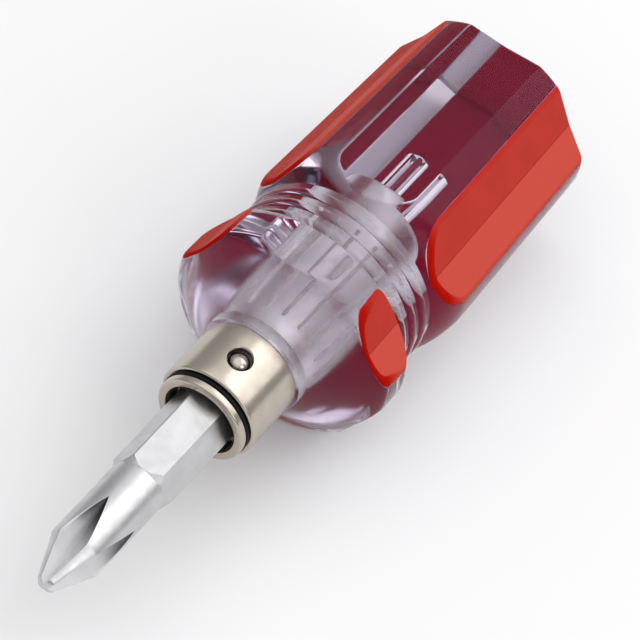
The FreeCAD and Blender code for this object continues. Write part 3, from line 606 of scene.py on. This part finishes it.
def lit_strip_and_crease(graph, place, paint):
    """The strips' colour with painted light and shade: one half painted a little paler, as if lit, and a painted
    shade line along the crease between the halves.
    """
    sizes = bpy.context.scene.screwdriver
    part = graph.parts(place)
    pitch = 2 * math.pi / sizes.handle.flutes
    turned = graph.math("DIVIDE", graph.math("ARCTAN2", part["Y"], part["Z"]), pitch)
    aside = graph.math("SUBTRACT", turned, graph.math("ROUND", turned))
    aside = graph.math("MULTIPLY", aside, pitch * STRIP_RADIUS)
    halves = graph.blend(graph.ramp(aside, *LIT_HALF_FADE), paint, sizes.colours.red_pale)
    crease = graph.ramp(graph.math("ABSOLUTE", aside), *CREASE_SHADE_FADE)
    return graph.blend(crease, halves, sizes.colours.red_crease)


def frosted_parts(graph, place, rough):
    """The clear plastic's roughness, raised on the nose and where the plastic took on the tube's knurl."""
    part = graph.parts(place)
    off_seat = graph.math("ABSOLUTE", graph.math("SUBTRACT", graph.radius(part), SEAT_RADIUS))
    seat = graph.math("MULTIPLY", graph.ramp(off_seat, *SEAT_FADE, SEAT_FROST, 0.0),
                      graph.math("GREATER_THAN", part["X"], SEAT_REAR))
    nose = graph.ramp(part["X"], *NOSE_FADE, 0.0, NOSE_FROST)
    return graph.math("MAXIMUM", graph.math("MAXIMUM", rough, nose), seat)


def shaded_bore(graph, place, paint):
    """The tube's colour, darkened inside its bore by painted shade."""
    light = graph.ramp(graph.radius(graph.parts(place)), *BORE_FADE, BORE_LEAST, 1.0)
    return graph.blend(light, BORE_SHADE, paint)


# ---- handle

# chords and sweep in degrees of the handle's roundings
SHOULDER, BULB_REAR, BULB_FRONT = (26, 55.0), (22, 70.0), (14, 65.0)
BARREL_STEPS, BULB_STEPS, NOSE_STEPS = 12, 5, 8
BEAD_CHORDS, EDGE_CHORDS, LIP_CHORDS = 10, 5, 3
SMALL_BEVEL = 0.15 * MM
BACK_RINGS, BACK_EDGE = (0.0, 0.5, 0.82), 0.9  # shares of the back face's radius
# columns of half a flute, by their share of its width: single ones, then from, to and how many
FIRST_COLUMNS, COLUMN_SPANS = [0.0, 0.012, 0.03], ((0.03, 0.64, 15), (0.64, 0.80, 10), (0.80, 1.0, 5))


def bead_outline(h):
    """The waist's three beads."""
    corners = []
    for step in (-1, 0, 1):
        for turned in between(0.0, math.pi, BEAD_CHORDS):
            along = h.bead_middle_x + step * h.bead_pitch - math.cos(turned) * h.bead_half_width
            corners.append((along, h.waist_radius + math.sin(turned) * h.bead_rise))
    return corners


def skin_outline(h):
    """The turned form's outline from the back edge to the nose's foot, without the back edge's rounding."""
    barrel = (h.barrel_end_x, h.barrel_radius)
    rear, front = (h.waist_rear_x, h.waist_radius), (h.waist_front_x, h.waist_radius)
    bulb_rear, bulb_front = (h.bulb_rear_x, h.bulb_radius), (h.bulb_front_x, h.bulb_radius)
    return (straight((h.back_edge_round, h.back_radius), barrel, BARREL_STEPS)
            + rounding(barrel, rear, *SHOULDER)
            + bead_outline(h)
            + [front] + rounding_back(front, bulb_rear, *BULB_REAR)
            + straight(bulb_rear, bulb_front, BULB_STEPS)[1:]
            + rounding(bulb_front, (h.nose_edge_x, h.nose_edge_radius), *BULB_FRONT))


def back_edge(h):
    """Corners of the back edge's rounding."""
    far = (0.0, h.back_radius - h.back_edge_round)
    return [far] + rounding_back(far, (h.back_edge_round, h.back_radius), EDGE_CHORDS)[:-1]


def column_rolls(h):
    """Rolls of the handle's columns: close together where a flute meets the barrel."""
    half = math.pi / h.flutes
    parts = FIRST_COLUMNS + [part for span in COLUMN_SPANS for part in between(*span)[1:]]
    period = [-part * half for part in reversed(parts[1:])] + [part * half for part in parts[:-1]]
    return [flute * 2 * half + part for flute in range(h.flutes) for part in period]


def handle_shell(h, holder):
    """The handle's whole turned skin, with the hollow for the tube."""
    seat = holder.tube_radius + holder.seat_clearance
    bottom = holder.tube_rear_x - holder.seat_clearance
    boss, rim = (h.boss_rear_x, h.boss_radius), (h.front_x - SMALL_BEVEL, h.boss_radius)
    outline = [(0.0, share * h.back_radius) for share in BACK_RINGS] + back_edge(h) + skin_outline(h)
    outline += straight((h.nose_edge_x, h.nose_edge_radius), boss, NOSE_STEPS)[1:] + [rim]
    outline += rounding(rim, (h.front_x, h.boss_radius - SMALL_BEVEL), LIP_CHORDS)
    outline += [(h.front_x, seat), (bottom, seat), (bottom, h.pilot_radius),
                (h.pilot_rear_x + h.pilot_radius, h.pilot_radius), (h.pilot_rear_x, 0.0)]
    shell = turn_up("handle_shell", outline, column_rolls(h))
    values = shell.data.attributes.new("inset", "FLOAT", "POINT").data
    for vertex in shell.data.vertices:
        radius = math.hypot(vertex.co.y, vertex.co.z)
        at_edge = vertex.co.x < h.back_edge_round and radius > BACK_EDGE * h.back_radius
        values[vertex.index].value = h.back_radius - radius if at_edge else 0.0
    return shell


def crease_gain(h):
    """Rise of a flute's middle line along the axis."""
    return (h.crease_front_radius - h.crease_back_radius) / h.front_x


class SCREWDRIVER_OT_handle(bpy.types.Operator):
    """Make the clear handle: a turned form with flutes pressed into it"""

    bl_idname = "screwdriver.handle"
    bl_label = "Clear handle"

    def execute(self, context):
        sizes = context.scene.screwdriver
        h = sizes.handle
        piece = grow(handle_shell(h, sizes.holder), flute_tree, {
            "Flutes": h.flutes, "Back crease": h.crease_back_radius, "Crease gain": crease_gain(h),
            "Fall": h.flute_fall, "Red depth": h.strip_thickness - h.strip_bite, "Softness": h.edge_softness,
            "Finish": finish("clear_plastic"),
        }, "handle", sharp=38.0)
        dress(piece, DRIVER, "clear_plastic", "handle_body")
        return {"FINISHED"}


# ---- red strips

STRIP_COLUMNS, END_STEPS, END_REACH, HALVINGS = 72, 16, 1.6 * MM, 40
# How the painted shade along a strip's edges fades and grows towards its front end.
RIM_FADE, RIM_REACH, RIM_REST, RIM_BEHIND, RIM_GROWTH = 0.05 * MM, 0.28 * MM, 0.25, 3.5 * MM, 2 * MM


def radius_at(outline, along):
    """Radius of an outline at a place along the axis."""
    for (x0, r0), (x1, r1) in zip(outline, outline[1:]):
        if x0 <= along <= x1 and x1 > x0:
            return r0 + (r1 - r0) * (along - x0) / (x1 - x0)
    return outline[0][1] if along < outline[0][0] else outline[-1][1]


def crease_at(h, along, depth):
    """Radius of a flute's middle line, at a depth under its floor."""
    return h.crease_back_radius + crease_gain(h) * along - depth


def flute_radius(h, along, aside, depth):
    """Radius of a flute's floor at an angle from its middle line."""
    return crease_at(h, along, depth) / (math.cos(aside) - abs(math.sin(aside)) * math.tan(h.flute_fall))


def flute_edge(h, outline, along, depth):
    """Angle from a flute's middle line to where its floor comes out of the skin."""
    lean = math.tan(h.flute_fall)
    reach = crease_at(h, along, depth) / (radius_at(outline, along) * math.hypot(1.0, lean))
    return max(0.0, math.acos(min(1.0, reach)) - math.atan(lean))


def smooth_min(first, second, softness):
    """The lesser of two values, rounded where they are close."""
    near = max(softness - abs(first - second), 0.0) / softness
    return min(first, second) - near ** 3 * softness / 6


def crossing(h, outline, inside, outside, depth):
    """Place along the axis where a flute's floor runs out of the skin."""
    for _ in range(HALVINGS):
        middle = (inside + outside) / 2
        if flute_edge(h, outline, middle, depth) > 0:
            inside = middle
        else:
            outside = middle
    return inside


def strip_stations(h, outline, inside, outsides, depth):
    """Places along the axis for a strip's rings, closer together towards its run-outs."""
    ends = [crossing(h, outline, inside, outside, depth) if outside is not None else 0.0
            for outside in outsides]
    places = {along for along, _ in outline if min(ends) < along < max(ends)}
    if outsides[0] is None:
        places |= {along for along, _ in back_edge(h)}
    for end, outside in zip(ends, outsides):
        if outside is not None:
            reach = math.copysign(END_REACH, inside - end)
            places |= {end + reach * part ** 2 for part in between(0.0, 1.0, END_STEPS)}
    ordered = sorted(places)
    return [along for index, along in enumerate(ordered) if index == 0 or along - ordered[index - 1] > TINY]


def strip_shell(h, name, inside, outsides):
    """One red strip at roll zero, as a closed shell laid in its flute."""
    outline, depth = skin_outline(h), h.strip_thickness
    front = crossing(h, outline, inside, outsides[1], depth)
    rounded = [(along, h.back_radius - radius) for along, radius in back_edge(h)] + [(h.back_edge_round, 0.0)]
    mesh = bmesh.new()
    on_plastic, rim = (mesh.verts.layers.float.new(label) for label in ("inside", "rim"))
    rows = []
    for along in strip_stations(h, outline, inside, outsides, depth):
        full = radius_at(outline, along)
        inset = radius_at(rounded, along) if along < h.back_edge_round else 0.0
        edge = flute_edge(h, outline, along, depth)
        at_front = clamp((along - front + RIM_BEHIND) / RIM_GROWTH)
        row = []
        for side in (1, -1):
            for step in range(STRIP_COLUMNS):
                aside = edge * side * (1 - 2 * step / STRIP_COLUMNS)
                floor = min(full, flute_radius(h, along, aside, depth))
                bare = flute_radius(h, along, aside, 0.0)
                top = smooth_min(full, bare, h.edge_softness)
                radius = max(top, floor) if side == 1 and step else floor
                vertex = mesh.verts.new(polar(along, radius - inset, aside))
                vertex[on_plastic] = 0.0 if side == 1 else 1.0
                # Painted shade: the strip's edges, most of all at its front end, take the darker rim colour.
                vertex[rim] = (clamp((bare - full + RIM_REACH * at_front) / RIM_FADE + 0.5)
                               * (RIM_REST + (1 - RIM_REST) * at_front))
                row.append(vertex)
        rows.append(row)
    bridge(mesh, rows)
    for row in (rows[0], rows[-1]):
        for step in range(STRIP_COLUMNS):
            add_face(mesh, (row[step], row[step + 1], row[-step - 1], row[-step]))
    return seal(mesh, name, 2 * NEARNESS)


class SCREWDRIVER_OT_strips(bpy.types.Operator):
    """Make the red strips of the barrel and of the bulb"""

    bl_idname = "screwdriver.strips"
    bl_label = "Red strips"

    def execute(self, context):
        h = context.scene.screwdriver.handle
        bulb_middle = (h.bulb_rear_x + h.bulb_front_x) / 2
        places = {
            "barrel_strip": (h.barrel_end_x, (None, h.waist_rear_x)),
            "bulb_strip": (bulb_middle, (h.waist_front_x, h.nose_edge_x)),
        }
        for stem, (inside, outsides) in places.items():
            for flute, side in zip(range(1, h.flutes, 2), ("right", "under", "left")):
                shell = strip_shell(h, f"{stem}_shell", inside, outsides)
                piece = grow(shell, roll_tree, {
                    "Count": 1, "First roll": flute * 2 * math.pi / h.flutes, "Finish": finish("red_plastic"),
                }, f"red_{stem}_{side}", sharp=50.0)
                dress(piece, DRIVER, "red_plastic", f"{stem}_{side}")
        return {"FINISHED"}


# ---- holder

HEX_SIDES, HALF_FLAT = 6, math.pi / 6
TUBE_SAMPLES, LEAD_STEPS = 16, 6
METAL_COLUMNS, WINDOW_COLUMNS, RING_COLUMNS = 144, 64, 20
SLEEVE_STEPS, FLANGE_CHORDS, MOUTH_CHORDS, FLANGE_BEVEL = 6, 8, 5, 0.08 * MM
BALL_STEPS = 28


def sector_rolls(first, sectors, samples, cut):
    """Rolls round the axis: half of each sector's samples are on its cut middle, half on the rest."""
    half = math.pi / sectors
    quarter = samples // 4
    spans = (-half, -cut, quarter), (-cut, cut, 2 * quarter), (cut, half, quarter)
    parts = [part for span in spans for part in between(*span)[:-1]]
    return [(first + (2 * sector + 1) * half + part, part) for sector in range(sectors) for part in parts]


def tube_rings(t):
    """Rings of the holder tube: outside forwards, socket and bore backwards."""
    spigot, apothem = t.mouth_radius - t.seat_clearance, t.socket_flats / 2
    around = sector_rolls(t.catch_roll - HALF_FLAT, HEX_SIDES, TUBE_SAMPLES, HALF_FLAT / 2)
    outside = [(t.tube_rear_x, t.tube_radius - SMALL_BEVEL), (t.tube_rear_x + SMALL_BEVEL, t.tube_radius),
               (t.spigot_rear_x, t.tube_radius), (t.spigot_rear_x, spigot), (t.tube_front_x, spigot)]
    bore = [(along, t.rear_bore_radius) for along in (t.socket_rear_x, t.tube_rear_x)]
    lead = (t.tube_front_x, spigot - t.lead_rim)
    cone = straight(lead, (t.tube_front_x - t.socket_lead, apothem), LEAD_STEPS)
    return ([ring(along, around, lambda _: radius) for along, radius in outside]
            + [ring(along, around, lambda aside: max(radius, apothem / math.cos(aside)))
               for along, radius in cone + [(t.socket_rear_x, apothem)]]
            + [ring(along, around, lambda _: radius) for along, radius in bore])


def knurl_tooth(t):
    """One tooth of the tube's knurl at roll zero, with slanted ends."""
    slant = t.knurl_height
    foot, low, tip = t.tube_radius - slant, t.tube_radius - slant / 2, t.tube_radius + slant
    mesh = bmesh.new()
    rows = [[mesh.verts.new(point) for point in (
        (along, -t.knurl_half_width, foot), (along, t.knurl_half_width, foot), (along, 0.0, height))]
        for along, height in ((t.knurl_rear_x, low), (t.knurl_rear_x + slant, tip),
                              (t.knurl_front_x - slant, tip), (t.knurl_front_x, low))]
    bridge(mesh, rows)
    for row in (rows[0], rows[-1]):
        mesh.faces.new(row)
    return seal(mesh, "knurl_tooth")


class SCREWDRIVER_OT_tube(bpy.types.Operator):
    """Make the holder tube with its socket and knurl"""

    bl_idname = "screwdriver.tube"
    bl_label = "Holder tube"

    def execute(self, context):
        t = context.scene.screwdriver.holder
        tube = skin("tube_core", tube_rings(t), closed=True)
        piece = grow(knurl_tooth(t), knurl_tree, {
            "Count": t.knurl_teeth, "First roll": t.catch_roll, "Tube": tube, "Finish": finish("tube_steel"),
        }, "tube", sharp=30.0)
        bpy.data.objects.remove(tube)
        dress(piece, DRIVER, "tube_steel", "holder_tube")
        return {"FINISHED"}


def window_cutter(t):
    """A plug that cuts the ball's window and bevels its rim."""
    low, rim, high = t.tube_radius - MM, t.sleeve_radius - t.window_rim, t.sleeve_radius + MM
    plug = turn_up("window_plug", [
        (low, 0.0), (low, t.window_radius), (rim, t.window_radius),
        (high, t.window_radius + high - rim), (high, 0.0),
    ], even_rolls(WINDOW_COLUMNS))
    upright = Matrix.Rotation(-t.catch_roll, 4, "X") @ Matrix.Rotation(-math.pi / 2, 4, "Y")
    plug.data.transform(Matrix.Translation((t.ball_x, 0, 0)) @ upright)
    return plug


class SCREWDRIVER_OT_sleeve(bpy.types.Operator):
    """Make the plated sleeve with the ball's window"""

    bl_idname = "screwdriver.sleeve"
    bl_label = "Sleeve"

    def execute(self, context):
        t = context.scene.screwdriver.holder
        bore = t.tube_radius + t.seat_clearance
        rim = t.sleeve_radius - t.sleeve_round
        rear_level = (t.sleeve_rear_x + t.sleeve_round, t.sleeve_radius)
        front_level = (t.sleeve_front_x - t.sleeve_round, t.sleeve_radius)
        outline = [(t.sleeve_rear_x, bore), (t.sleeve_rear_x, rim)]
        outline += rounding_back((t.sleeve_rear_x, rim), rear_level, SLEEVE_STEPS)
        outline += straight(rear_level, front_level, SLEEVE_STEPS)[1:]
        outline += rounding(front_level, (t.sleeve_front_x, rim), SLEEVE_STEPS)
        outline += [(t.sleeve_front_x, bore)]
        for side, radius in ((1, bore), (1, t.groove_radius), (-1, t.groove_radius), (-1, bore)):
            outline.append((t.ball_x + side * t.groove_half_width, radius))
        piece = cut_away(hoop("sleeve", outline), window_cutter(t))
        dress(piece, DRIVER, "nickel_plate", "outer_sleeve")
        return {"FINISHED"}


class SCREWDRIVER_OT_mouth(bpy.types.Operator):
    """Make the collar at the mouth and the black ring behind it"""

    bl_idname = "screwdriver.mouth"
    bl_label = "Collar and ring"

    def execute(self, context):
        t = context.scene.screwdriver.holder
        bore, front = t.mouth_radius, t.collar_front_x
        rear = t.spigot_rear_x + t.seat_clearance
        level = (front - t.collar_round, t.collar_radius)
        outline = [(rear, bore), (rear, t.tube_radius), (t.flange_rear_x, t.tube_radius),
                   (t.flange_rear_x, t.collar_radius - FLANGE_BEVEL),
                   (t.flange_rear_x + FLANGE_BEVEL, t.collar_radius), level]
        outline += rounding(level, (front, t.collar_radius - t.collar_round), FLANGE_CHORDS)
        edge = (front - t.mouth_round, bore)
        outline += rounding(edge, (front, bore + t.mouth_round), MOUTH_CHORDS)[::-1] + [edge]
        collar = settle(hoop("collar_shell", outline), "collar", sharp=35.0)
        dress(collar, DRIVER, "nickel_plate", "front_collar")
        middle = t.flange_rear_x - t.ring_side_gap - t.ring_section
        section = [(middle + math.cos(turned) * t.ring_section,
                    t.tube_radius + t.ring_section + math.sin(turned) * t.ring_section)
                   for turned in even_rolls(RING_COLUMNS)]
        seal_ring = settle(hoop("ring_shell", section), "black_ring", sharp=60.0)
        dress(seal_ring, DRIVER, "black_rubber", "seal_ring")
        return {"FINISHED"}


class SCREWDRIVER_OT_catch(bpy.types.Operator):
    """Make the ball of the catch and finish its spring band"""

    bl_idname = "screwdriver.catch"
    bl_label = "Ball catch"

    def execute(self, context):
        t = context.scene.screwdriver.holder
        corners = [(t.ball_radius * math.cos(turned), t.ball_radius * math.sin(turned))
                   for turned in between(0.0, math.pi, BALL_STEPS)]
        corners[0], corners[-1] = (t.ball_radius, 0.0), (-t.ball_radius, 0.0)
        shell = turn_up("ball_shell", corners, even_rolls(2 * BALL_STEPS))
        shell.data.transform(Matrix.Translation(polar(t.ball_x, t.ball_height, t.catch_roll)))
        dress(settle(shell, "ball", sharp=60.0), BALL_CATCH, "ball_steel", "detent_ball")
        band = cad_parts["ball_spring"]
        band.data.materials.clear()
        band.data.materials.append(finish("spring_steel"))
        return {"FINISHED"}


# ---- bit

HEX_SAMPLES, CROSS_SAMPLES, BLADE_SAMPLES = 32, 48, 96
BLADE_STEPS, BLADE_RELIEF, BEVEL_STEPS, NECK_STEPS = 14, 0.2 * MM, 8, 16
CROSS_STEPS, CROSS_BIAS, CONE_STEPS, TIP_CHORDS = 20, 1.8, 16, 8
SMALL_ANGLE, KNEE_SOFTNESS = 0.004, 0.7 * MM
# Where the painted shade at the flutes' run-outs starts and ends, how deep a flute must be for it, and how it
# fades with depth.
RUNOUT_SHADE_FROM, RUNOUT_SHADE_TO, RUNOUT_SHADE_DEPTH, RUNOUT_SHADE_FADE = 4.2 * MM, 9.0 * MM, 0.03 * MM, 0.75


def hex_rolls(t, cut):
    """Rolls of the bit's hexagon, with their angles from the middle of a flat."""
    return sector_rolls(t.catch_roll - math.pi / 2, HEX_SIDES, HEX_SAMPLES, cut)


def hex_ring(b, t, along, cap):
    """A ring of the hexagon, its corners cut down to a cap radius."""
    apothem = b.flats / 2
    cut = max(SMALL_ANGLE, math.acos(min(1.0, apothem / cap)))
    rolls = hex_rolls(t, min(cut, HALF_FLAT - SMALL_ANGLE))
    return ring(along, rolls, lambda aside: min(apothem / math.cos(aside), cap))


def cross_rolls(b, t, cut):
    """Rolls of the cross-point's points, with their angles from the middle of a flute."""
    first = t.catch_roll + b.cross_roll - 3 * math.pi / b.cross_flutes
    rolls = sector_rolls(first, b.cross_flutes, CROSS_SAMPLES, cut)
    return rolls[HEX_SAMPLES:] + [(roll + 2 * math.pi, aside) for roll, aside in rolls[:HEX_SAMPLES]]


def cross_core(b, along):
    """Radius left between two opposite flutes: nearly level behind the tip, then rising in a bend."""
    behind = b.tip_x - along
    level = b.cross_core + (b.cross_knee_core - b.cross_core) * behind / b.cross_knee
    rise = (b.neck_radius - b.cross_knee_core) / (b.cross_length - b.cross_knee)
    return -smooth_min(-level, -b.cross_knee_core - rise * (behind - b.cross_knee), KNEE_SOFTNESS)


def cross_ring(b, t, along, radius):
    """A ring of the cross-point, cut by its square-cornered flutes."""
    core = cross_core(b, along)
    cut = math.acos(min(1.0, core / (radius * math.sqrt(2)))) - math.pi / 4
    cut = min(max(cut, SMALL_ANGLE), math.pi / b.cross_flutes - SMALL_ANGLE)
    return ring(along, cross_rolls(b, t, cut),
                lambda aside: min(radius, core / max(TINY, math.cos(aside) - abs(math.sin(aside)))))


def neck_rings(b, t, start, end):
    """Rings of the front neck, whose points move from the hexagon's rolls to the cross-point's."""
    pairs = list(zip(hex_rolls(t, HALF_FLAT / 2), cross_rolls(b, t, SMALL_ANGLE)))
    return [[polar(start + (end - start) * part, b.neck_radius, even + (gathered - even) * part)
             for (even, _), (gathered, _) in pairs] for part in between(0.0, 1.0, NECK_STEPS)]


def blade_ring(b, t, along, half_thickness):
    """A ring of the flat blade, cut by its two flats."""
    cut = math.acos(min(1.0, half_thickness / b.neck_radius))
    rolls = sector_rolls(t.catch_roll - math.pi / 2, 2, BLADE_SAMPLES, max(cut, SMALL_ANGLE))
    return ring(along, rolls,
                lambda aside: min(b.neck_radius, half_thickness / max(TINY, abs(math.cos(aside)))))


def cross_outline(b):
    """Outline of the cross-point's blank, with more corners where its flutes run out."""
    root = b.tip_x - b.cross_length
    cone = (b.cone_start_x, b.neck_radius)
    edge = (b.tip_edge_x, b.tip_edge_radius)
    return ([(root + (b.cone_start_x - root) * part ** CROSS_BIAS, b.neck_radius)
             for part in between(0.0, 1.0, CROSS_STEPS)[1:]]
            + straight(cone, edge, CONE_STEPS)[1:] + rounding(edge, (b.tip_x, 0.0), TIP_CHORDS)[:-1])


def mark_runout_shade(b, data):
    """Mark where the cross-point's flutes run out, for painted shade and painted dark reflection there."""
    outline = cross_outline(b)
    values = data.attributes.new("burnt", "FLOAT", "POINT").data
    for vertex in data.vertices:
        depth = radius_at(outline, vertex.co.x) - math.hypot(vertex.co.y, vertex.co.z)
        near = clamp((b.tip_x - vertex.co.x - RUNOUT_SHADE_FROM) / (RUNOUT_SHADE_TO - RUNOUT_SHADE_FROM))
        shallow = 1 - RUNOUT_SHADE_FADE * clamp(depth / (b.neck_radius - b.cross_knee_core))
        share = near * near * (3 - 2 * near) * clamp(depth / RUNOUT_SHADE_DEPTH) * shallow
        values[vertex.index].value = share if vertex.co.x > b.hex_front_x else 0.0


def bit_rings(b, t):
    """Rings of the bit from the flat blade to the cross-point's tip."""
    thin = b.blade_thickness / 2
    blade = straight((0.0, thin), (1.0, b.neck_radius), BLADE_STEPS)
    rings = [[Vector((b.rear_x, 0, 0))]]
    rings += [blade_ring(b, t, b.rear_x + b.blade_length * part, thick) for part, thick in blade]
    for along in (b.rear_x + b.blade_length + BLADE_RELIEF, b.hex_rear_x):
        rings.append(ring(along, hex_rolls(t, HALF_FLAT / 2), lambda _: b.neck_radius))
    apothem = b.flats / 2
    slope = (apothem / math.cos(HALF_FLAT) - b.neck_radius) / b.hex_chamfer
    caps = between(apothem, b.corner_radius, BEVEL_STEPS)
    rings += [hex_ring(b, t, b.hex_rear_x + (cap - b.neck_radius) / slope, cap) for cap in caps]
    rings += [hex_ring(b, t, b.hex_front_x - (cap - b.neck_radius) / slope, cap) for cap in reversed(caps)]
    rings += neck_rings(b, t, b.hex_front_x, b.tip_x - b.cross_length)
    rings += [cross_ring(b, t, along, radius) for along, radius in cross_outline(b)]
    return rings + [[Vector((b.tip_x, 0, 0))]]


class SCREWDRIVER_OT_bit(bpy.types.Operator):
    """Make the double-ended bit"""

    bl_idname = "screwdriver.bit"
    bl_label = "Bit"

    def execute(self, context):
        sizes = context.scene.screwdriver
        shell = skin("bit_shell", bit_rings(sizes.bit, sizes.holder))
        mark_runout_shade(sizes.bit, shell.data)
        dress(settle(shell, "double_bit", sharp=24.0), BIT, "bit_steel", "bit")
        return {"FINISHED"}


# ---- stage

# light: its azimuth and elevation in degrees, and its distance and side in metres
LIGHTS = {"key": (233, 43, 0.7, 0.62), "fill": (165, 30, 0.8, 0.4)}
LIGHT_AIM = Vector((35 * MM, 0, 0))
# sine of a direction's elevation, brightness of the room there
ROOM = ((0.0, 0.42), (0.2, 0.42), (0.45, 0.48), (0.64, 0.62), (0.80, 1.3), (1.0, 1.3))
FLOOR_HALF, FLOOR_ROUGHNESS, FLOOR_SPECULAR = 1.5, 0.9, 0.1
NEAREST, FARTHEST = 0.01, 20.0


def direction(azimuth, elevation):
    """A way from the object, as the views count it."""
    return Vector((math.sin(azimuth) * math.cos(elevation), -math.cos(azimuth) * math.cos(elevation),
                   math.sin(elevation)))


def aim_matrix(view, place, aim, roll):
    """Where an object stands that looks from place at aim, turned about its line of sight."""
    back = (place - aim).normalized()
    across = Vector((math.cos(view.azimuth), math.sin(view.azimuth), 0.0))
    up = back.cross(across).normalized()
    across = up.cross(back)
    turned_across = across * math.cos(roll) + up * math.sin(roll)
    turned_up = up * math.cos(roll) - across * math.sin(roll)
    matrix = Matrix((turned_across, turned_up, back)).transposed().to_4x4()
    matrix.translation = place
    return matrix


def add_camera(view):
    """The camera, at the picture's viewing angle and frame."""
    target = Vector((view.aim_x, 0.0, 0.0))
    place = target + direction(view.azimuth, view.elevation) * view.distance
    upright = aim_matrix(view, place, target, view.roll)
    across, up = upright.col[0].xyz, upright.col[1].xyz
    centre = (target - across * (view.aim_across - 0.5) * view.spread
              + up * (view.aim_down - 0.5) * view.spread)
    data = bpy.data.cameras.new("camera")
    data.lens = data.sensor_width * view.distance / view.spread
    data.clip_start, data.clip_end = NEAREST, FARTHEST
    camera = link_new("camera", data)
    camera.matrix_world = aim_matrix(view, place, centre, view.roll)
    bpy.context.scene.camera = camera


def add_light(name, azimuth, elevation, reach, side, power):
    """A soft square light that looks at the object."""
    data = bpy.data.lights.new(name, "AREA")
    data.shape = "SQUARE"
    data.size = side
    data.energy = power
    way = direction(math.radians(azimuth), math.radians(elevation))
    turn = way.to_track_quat("Z", "Y").to_matrix().to_4x4()
    link_new(name, data).matrix_world = Matrix.Translation(LIGHT_AIM + reach * way) @ turn


def room(strength):
    """Light from all round: a bright ceiling over darker walls."""
    made = bpy.data.worlds.new("room")
    graph = Graph.of(made)
    height = graph.parts(graph.add("ShaderNodeTexCoord").outputs["Generated"])["Z"]
    shades = graph.add("ShaderNodeValToRGB", {0: height})
    for place, _ in ROOM[1:-1]:
        shades.color_ramp.elements.new(place)
    for stop, (place, shade) in zip(shades.color_ramp.elements, ROOM):
        stop.position, stop.color = place, (shade, shade, shade, 1)
    air = graph.add("ShaderNodeBackground", {"Color": shades.outputs["Color"], "Strength": strength})
    graph.add("ShaderNodeOutputWorld", {"Surface": air.outputs[0]})
    return made


class SCREWDRIVER_OT_stage(bpy.types.Operator):
    """Set the floor, the lights and the camera"""

    bl_idname = "screwdriver.stage"
    bl_label = "Stage"

    def execute(self, context):
        sizes = context.scene.screwdriver
        mesh = bmesh.new()
        bmesh.ops.create_grid(mesh, x_segments=1, y_segments=1, size=FLOOR_HALF)
        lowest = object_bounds()[0].z
        floor = seal(mesh, "floor")
        floor.data.transform(Matrix.Translation((0, 0, lowest)))
        material = bpy.data.materials.new("floor")
        material.use_nodes = True
        surface = material.node_tree.nodes["Principled BSDF"].inputs
        surface["Base Color"].default_value = (*sizes.colours.floor, 1)
        surface["Roughness"].default_value = FLOOR_ROUGHNESS
        surface["Specular IOR Level"].default_value = FLOOR_SPECULAR
        floor.data.materials.append(material)
        floor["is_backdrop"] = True
        context.scene.view_settings.view_transform = "Standard"
        context.scene.world = room(sizes.stage.air)
        for name, placing in LIGHTS.items():
            add_light(name, *placing, getattr(sizes.stage, name))
        add_camera(sizes.stage)
        return {"FINISHED"}


# ---- add-on

class SCREWDRIVER_PT_pieces(bpy.types.Panel):
    """Lists the pieces that can be made"""

    bl_idname = "SCREWDRIVER_PT_pieces"
    bl_label = "Pocket screwdriver"
    bl_space_type = "VIEW_3D"
    bl_region_type = "UI"
    bl_category = "Screwdriver"

    def draw(self, context):
        for operator in OPERATORS:
            self.layout.operator(operator.bl_idname)


GROUPS = (HandleSizes, HolderSizes, BitSizes, FinishColours, StageSettings, DriverSettings)
OPERATORS = (SCREWDRIVER_OT_handle, SCREWDRIVER_OT_strips, SCREWDRIVER_OT_tube, SCREWDRIVER_OT_sleeve,
             SCREWDRIVER_OT_mouth, SCREWDRIVER_OT_catch, SCREWDRIVER_OT_bit, SCREWDRIVER_OT_stage)
CLASSES = (*GROUPS, *OPERATORS, SCREWDRIVER_PT_pieces)


def register():
    for kind in CLASSES:
        bpy.utils.register_class(kind)
    bpy.types.Scene.screwdriver = PointerProperty(type=DriverSettings)


def unregister():
    del bpy.types.Scene.screwdriver
    for kind in reversed(CLASSES):
        bpy.utils.unregister_class(kind)


def main():
    register()
    for operator in OPERATORS:
        family, name = operator.bl_idname.split(".")
        getattr(getattr(bpy.ops, family), name)()


if __name__ == "__main__":
    main()
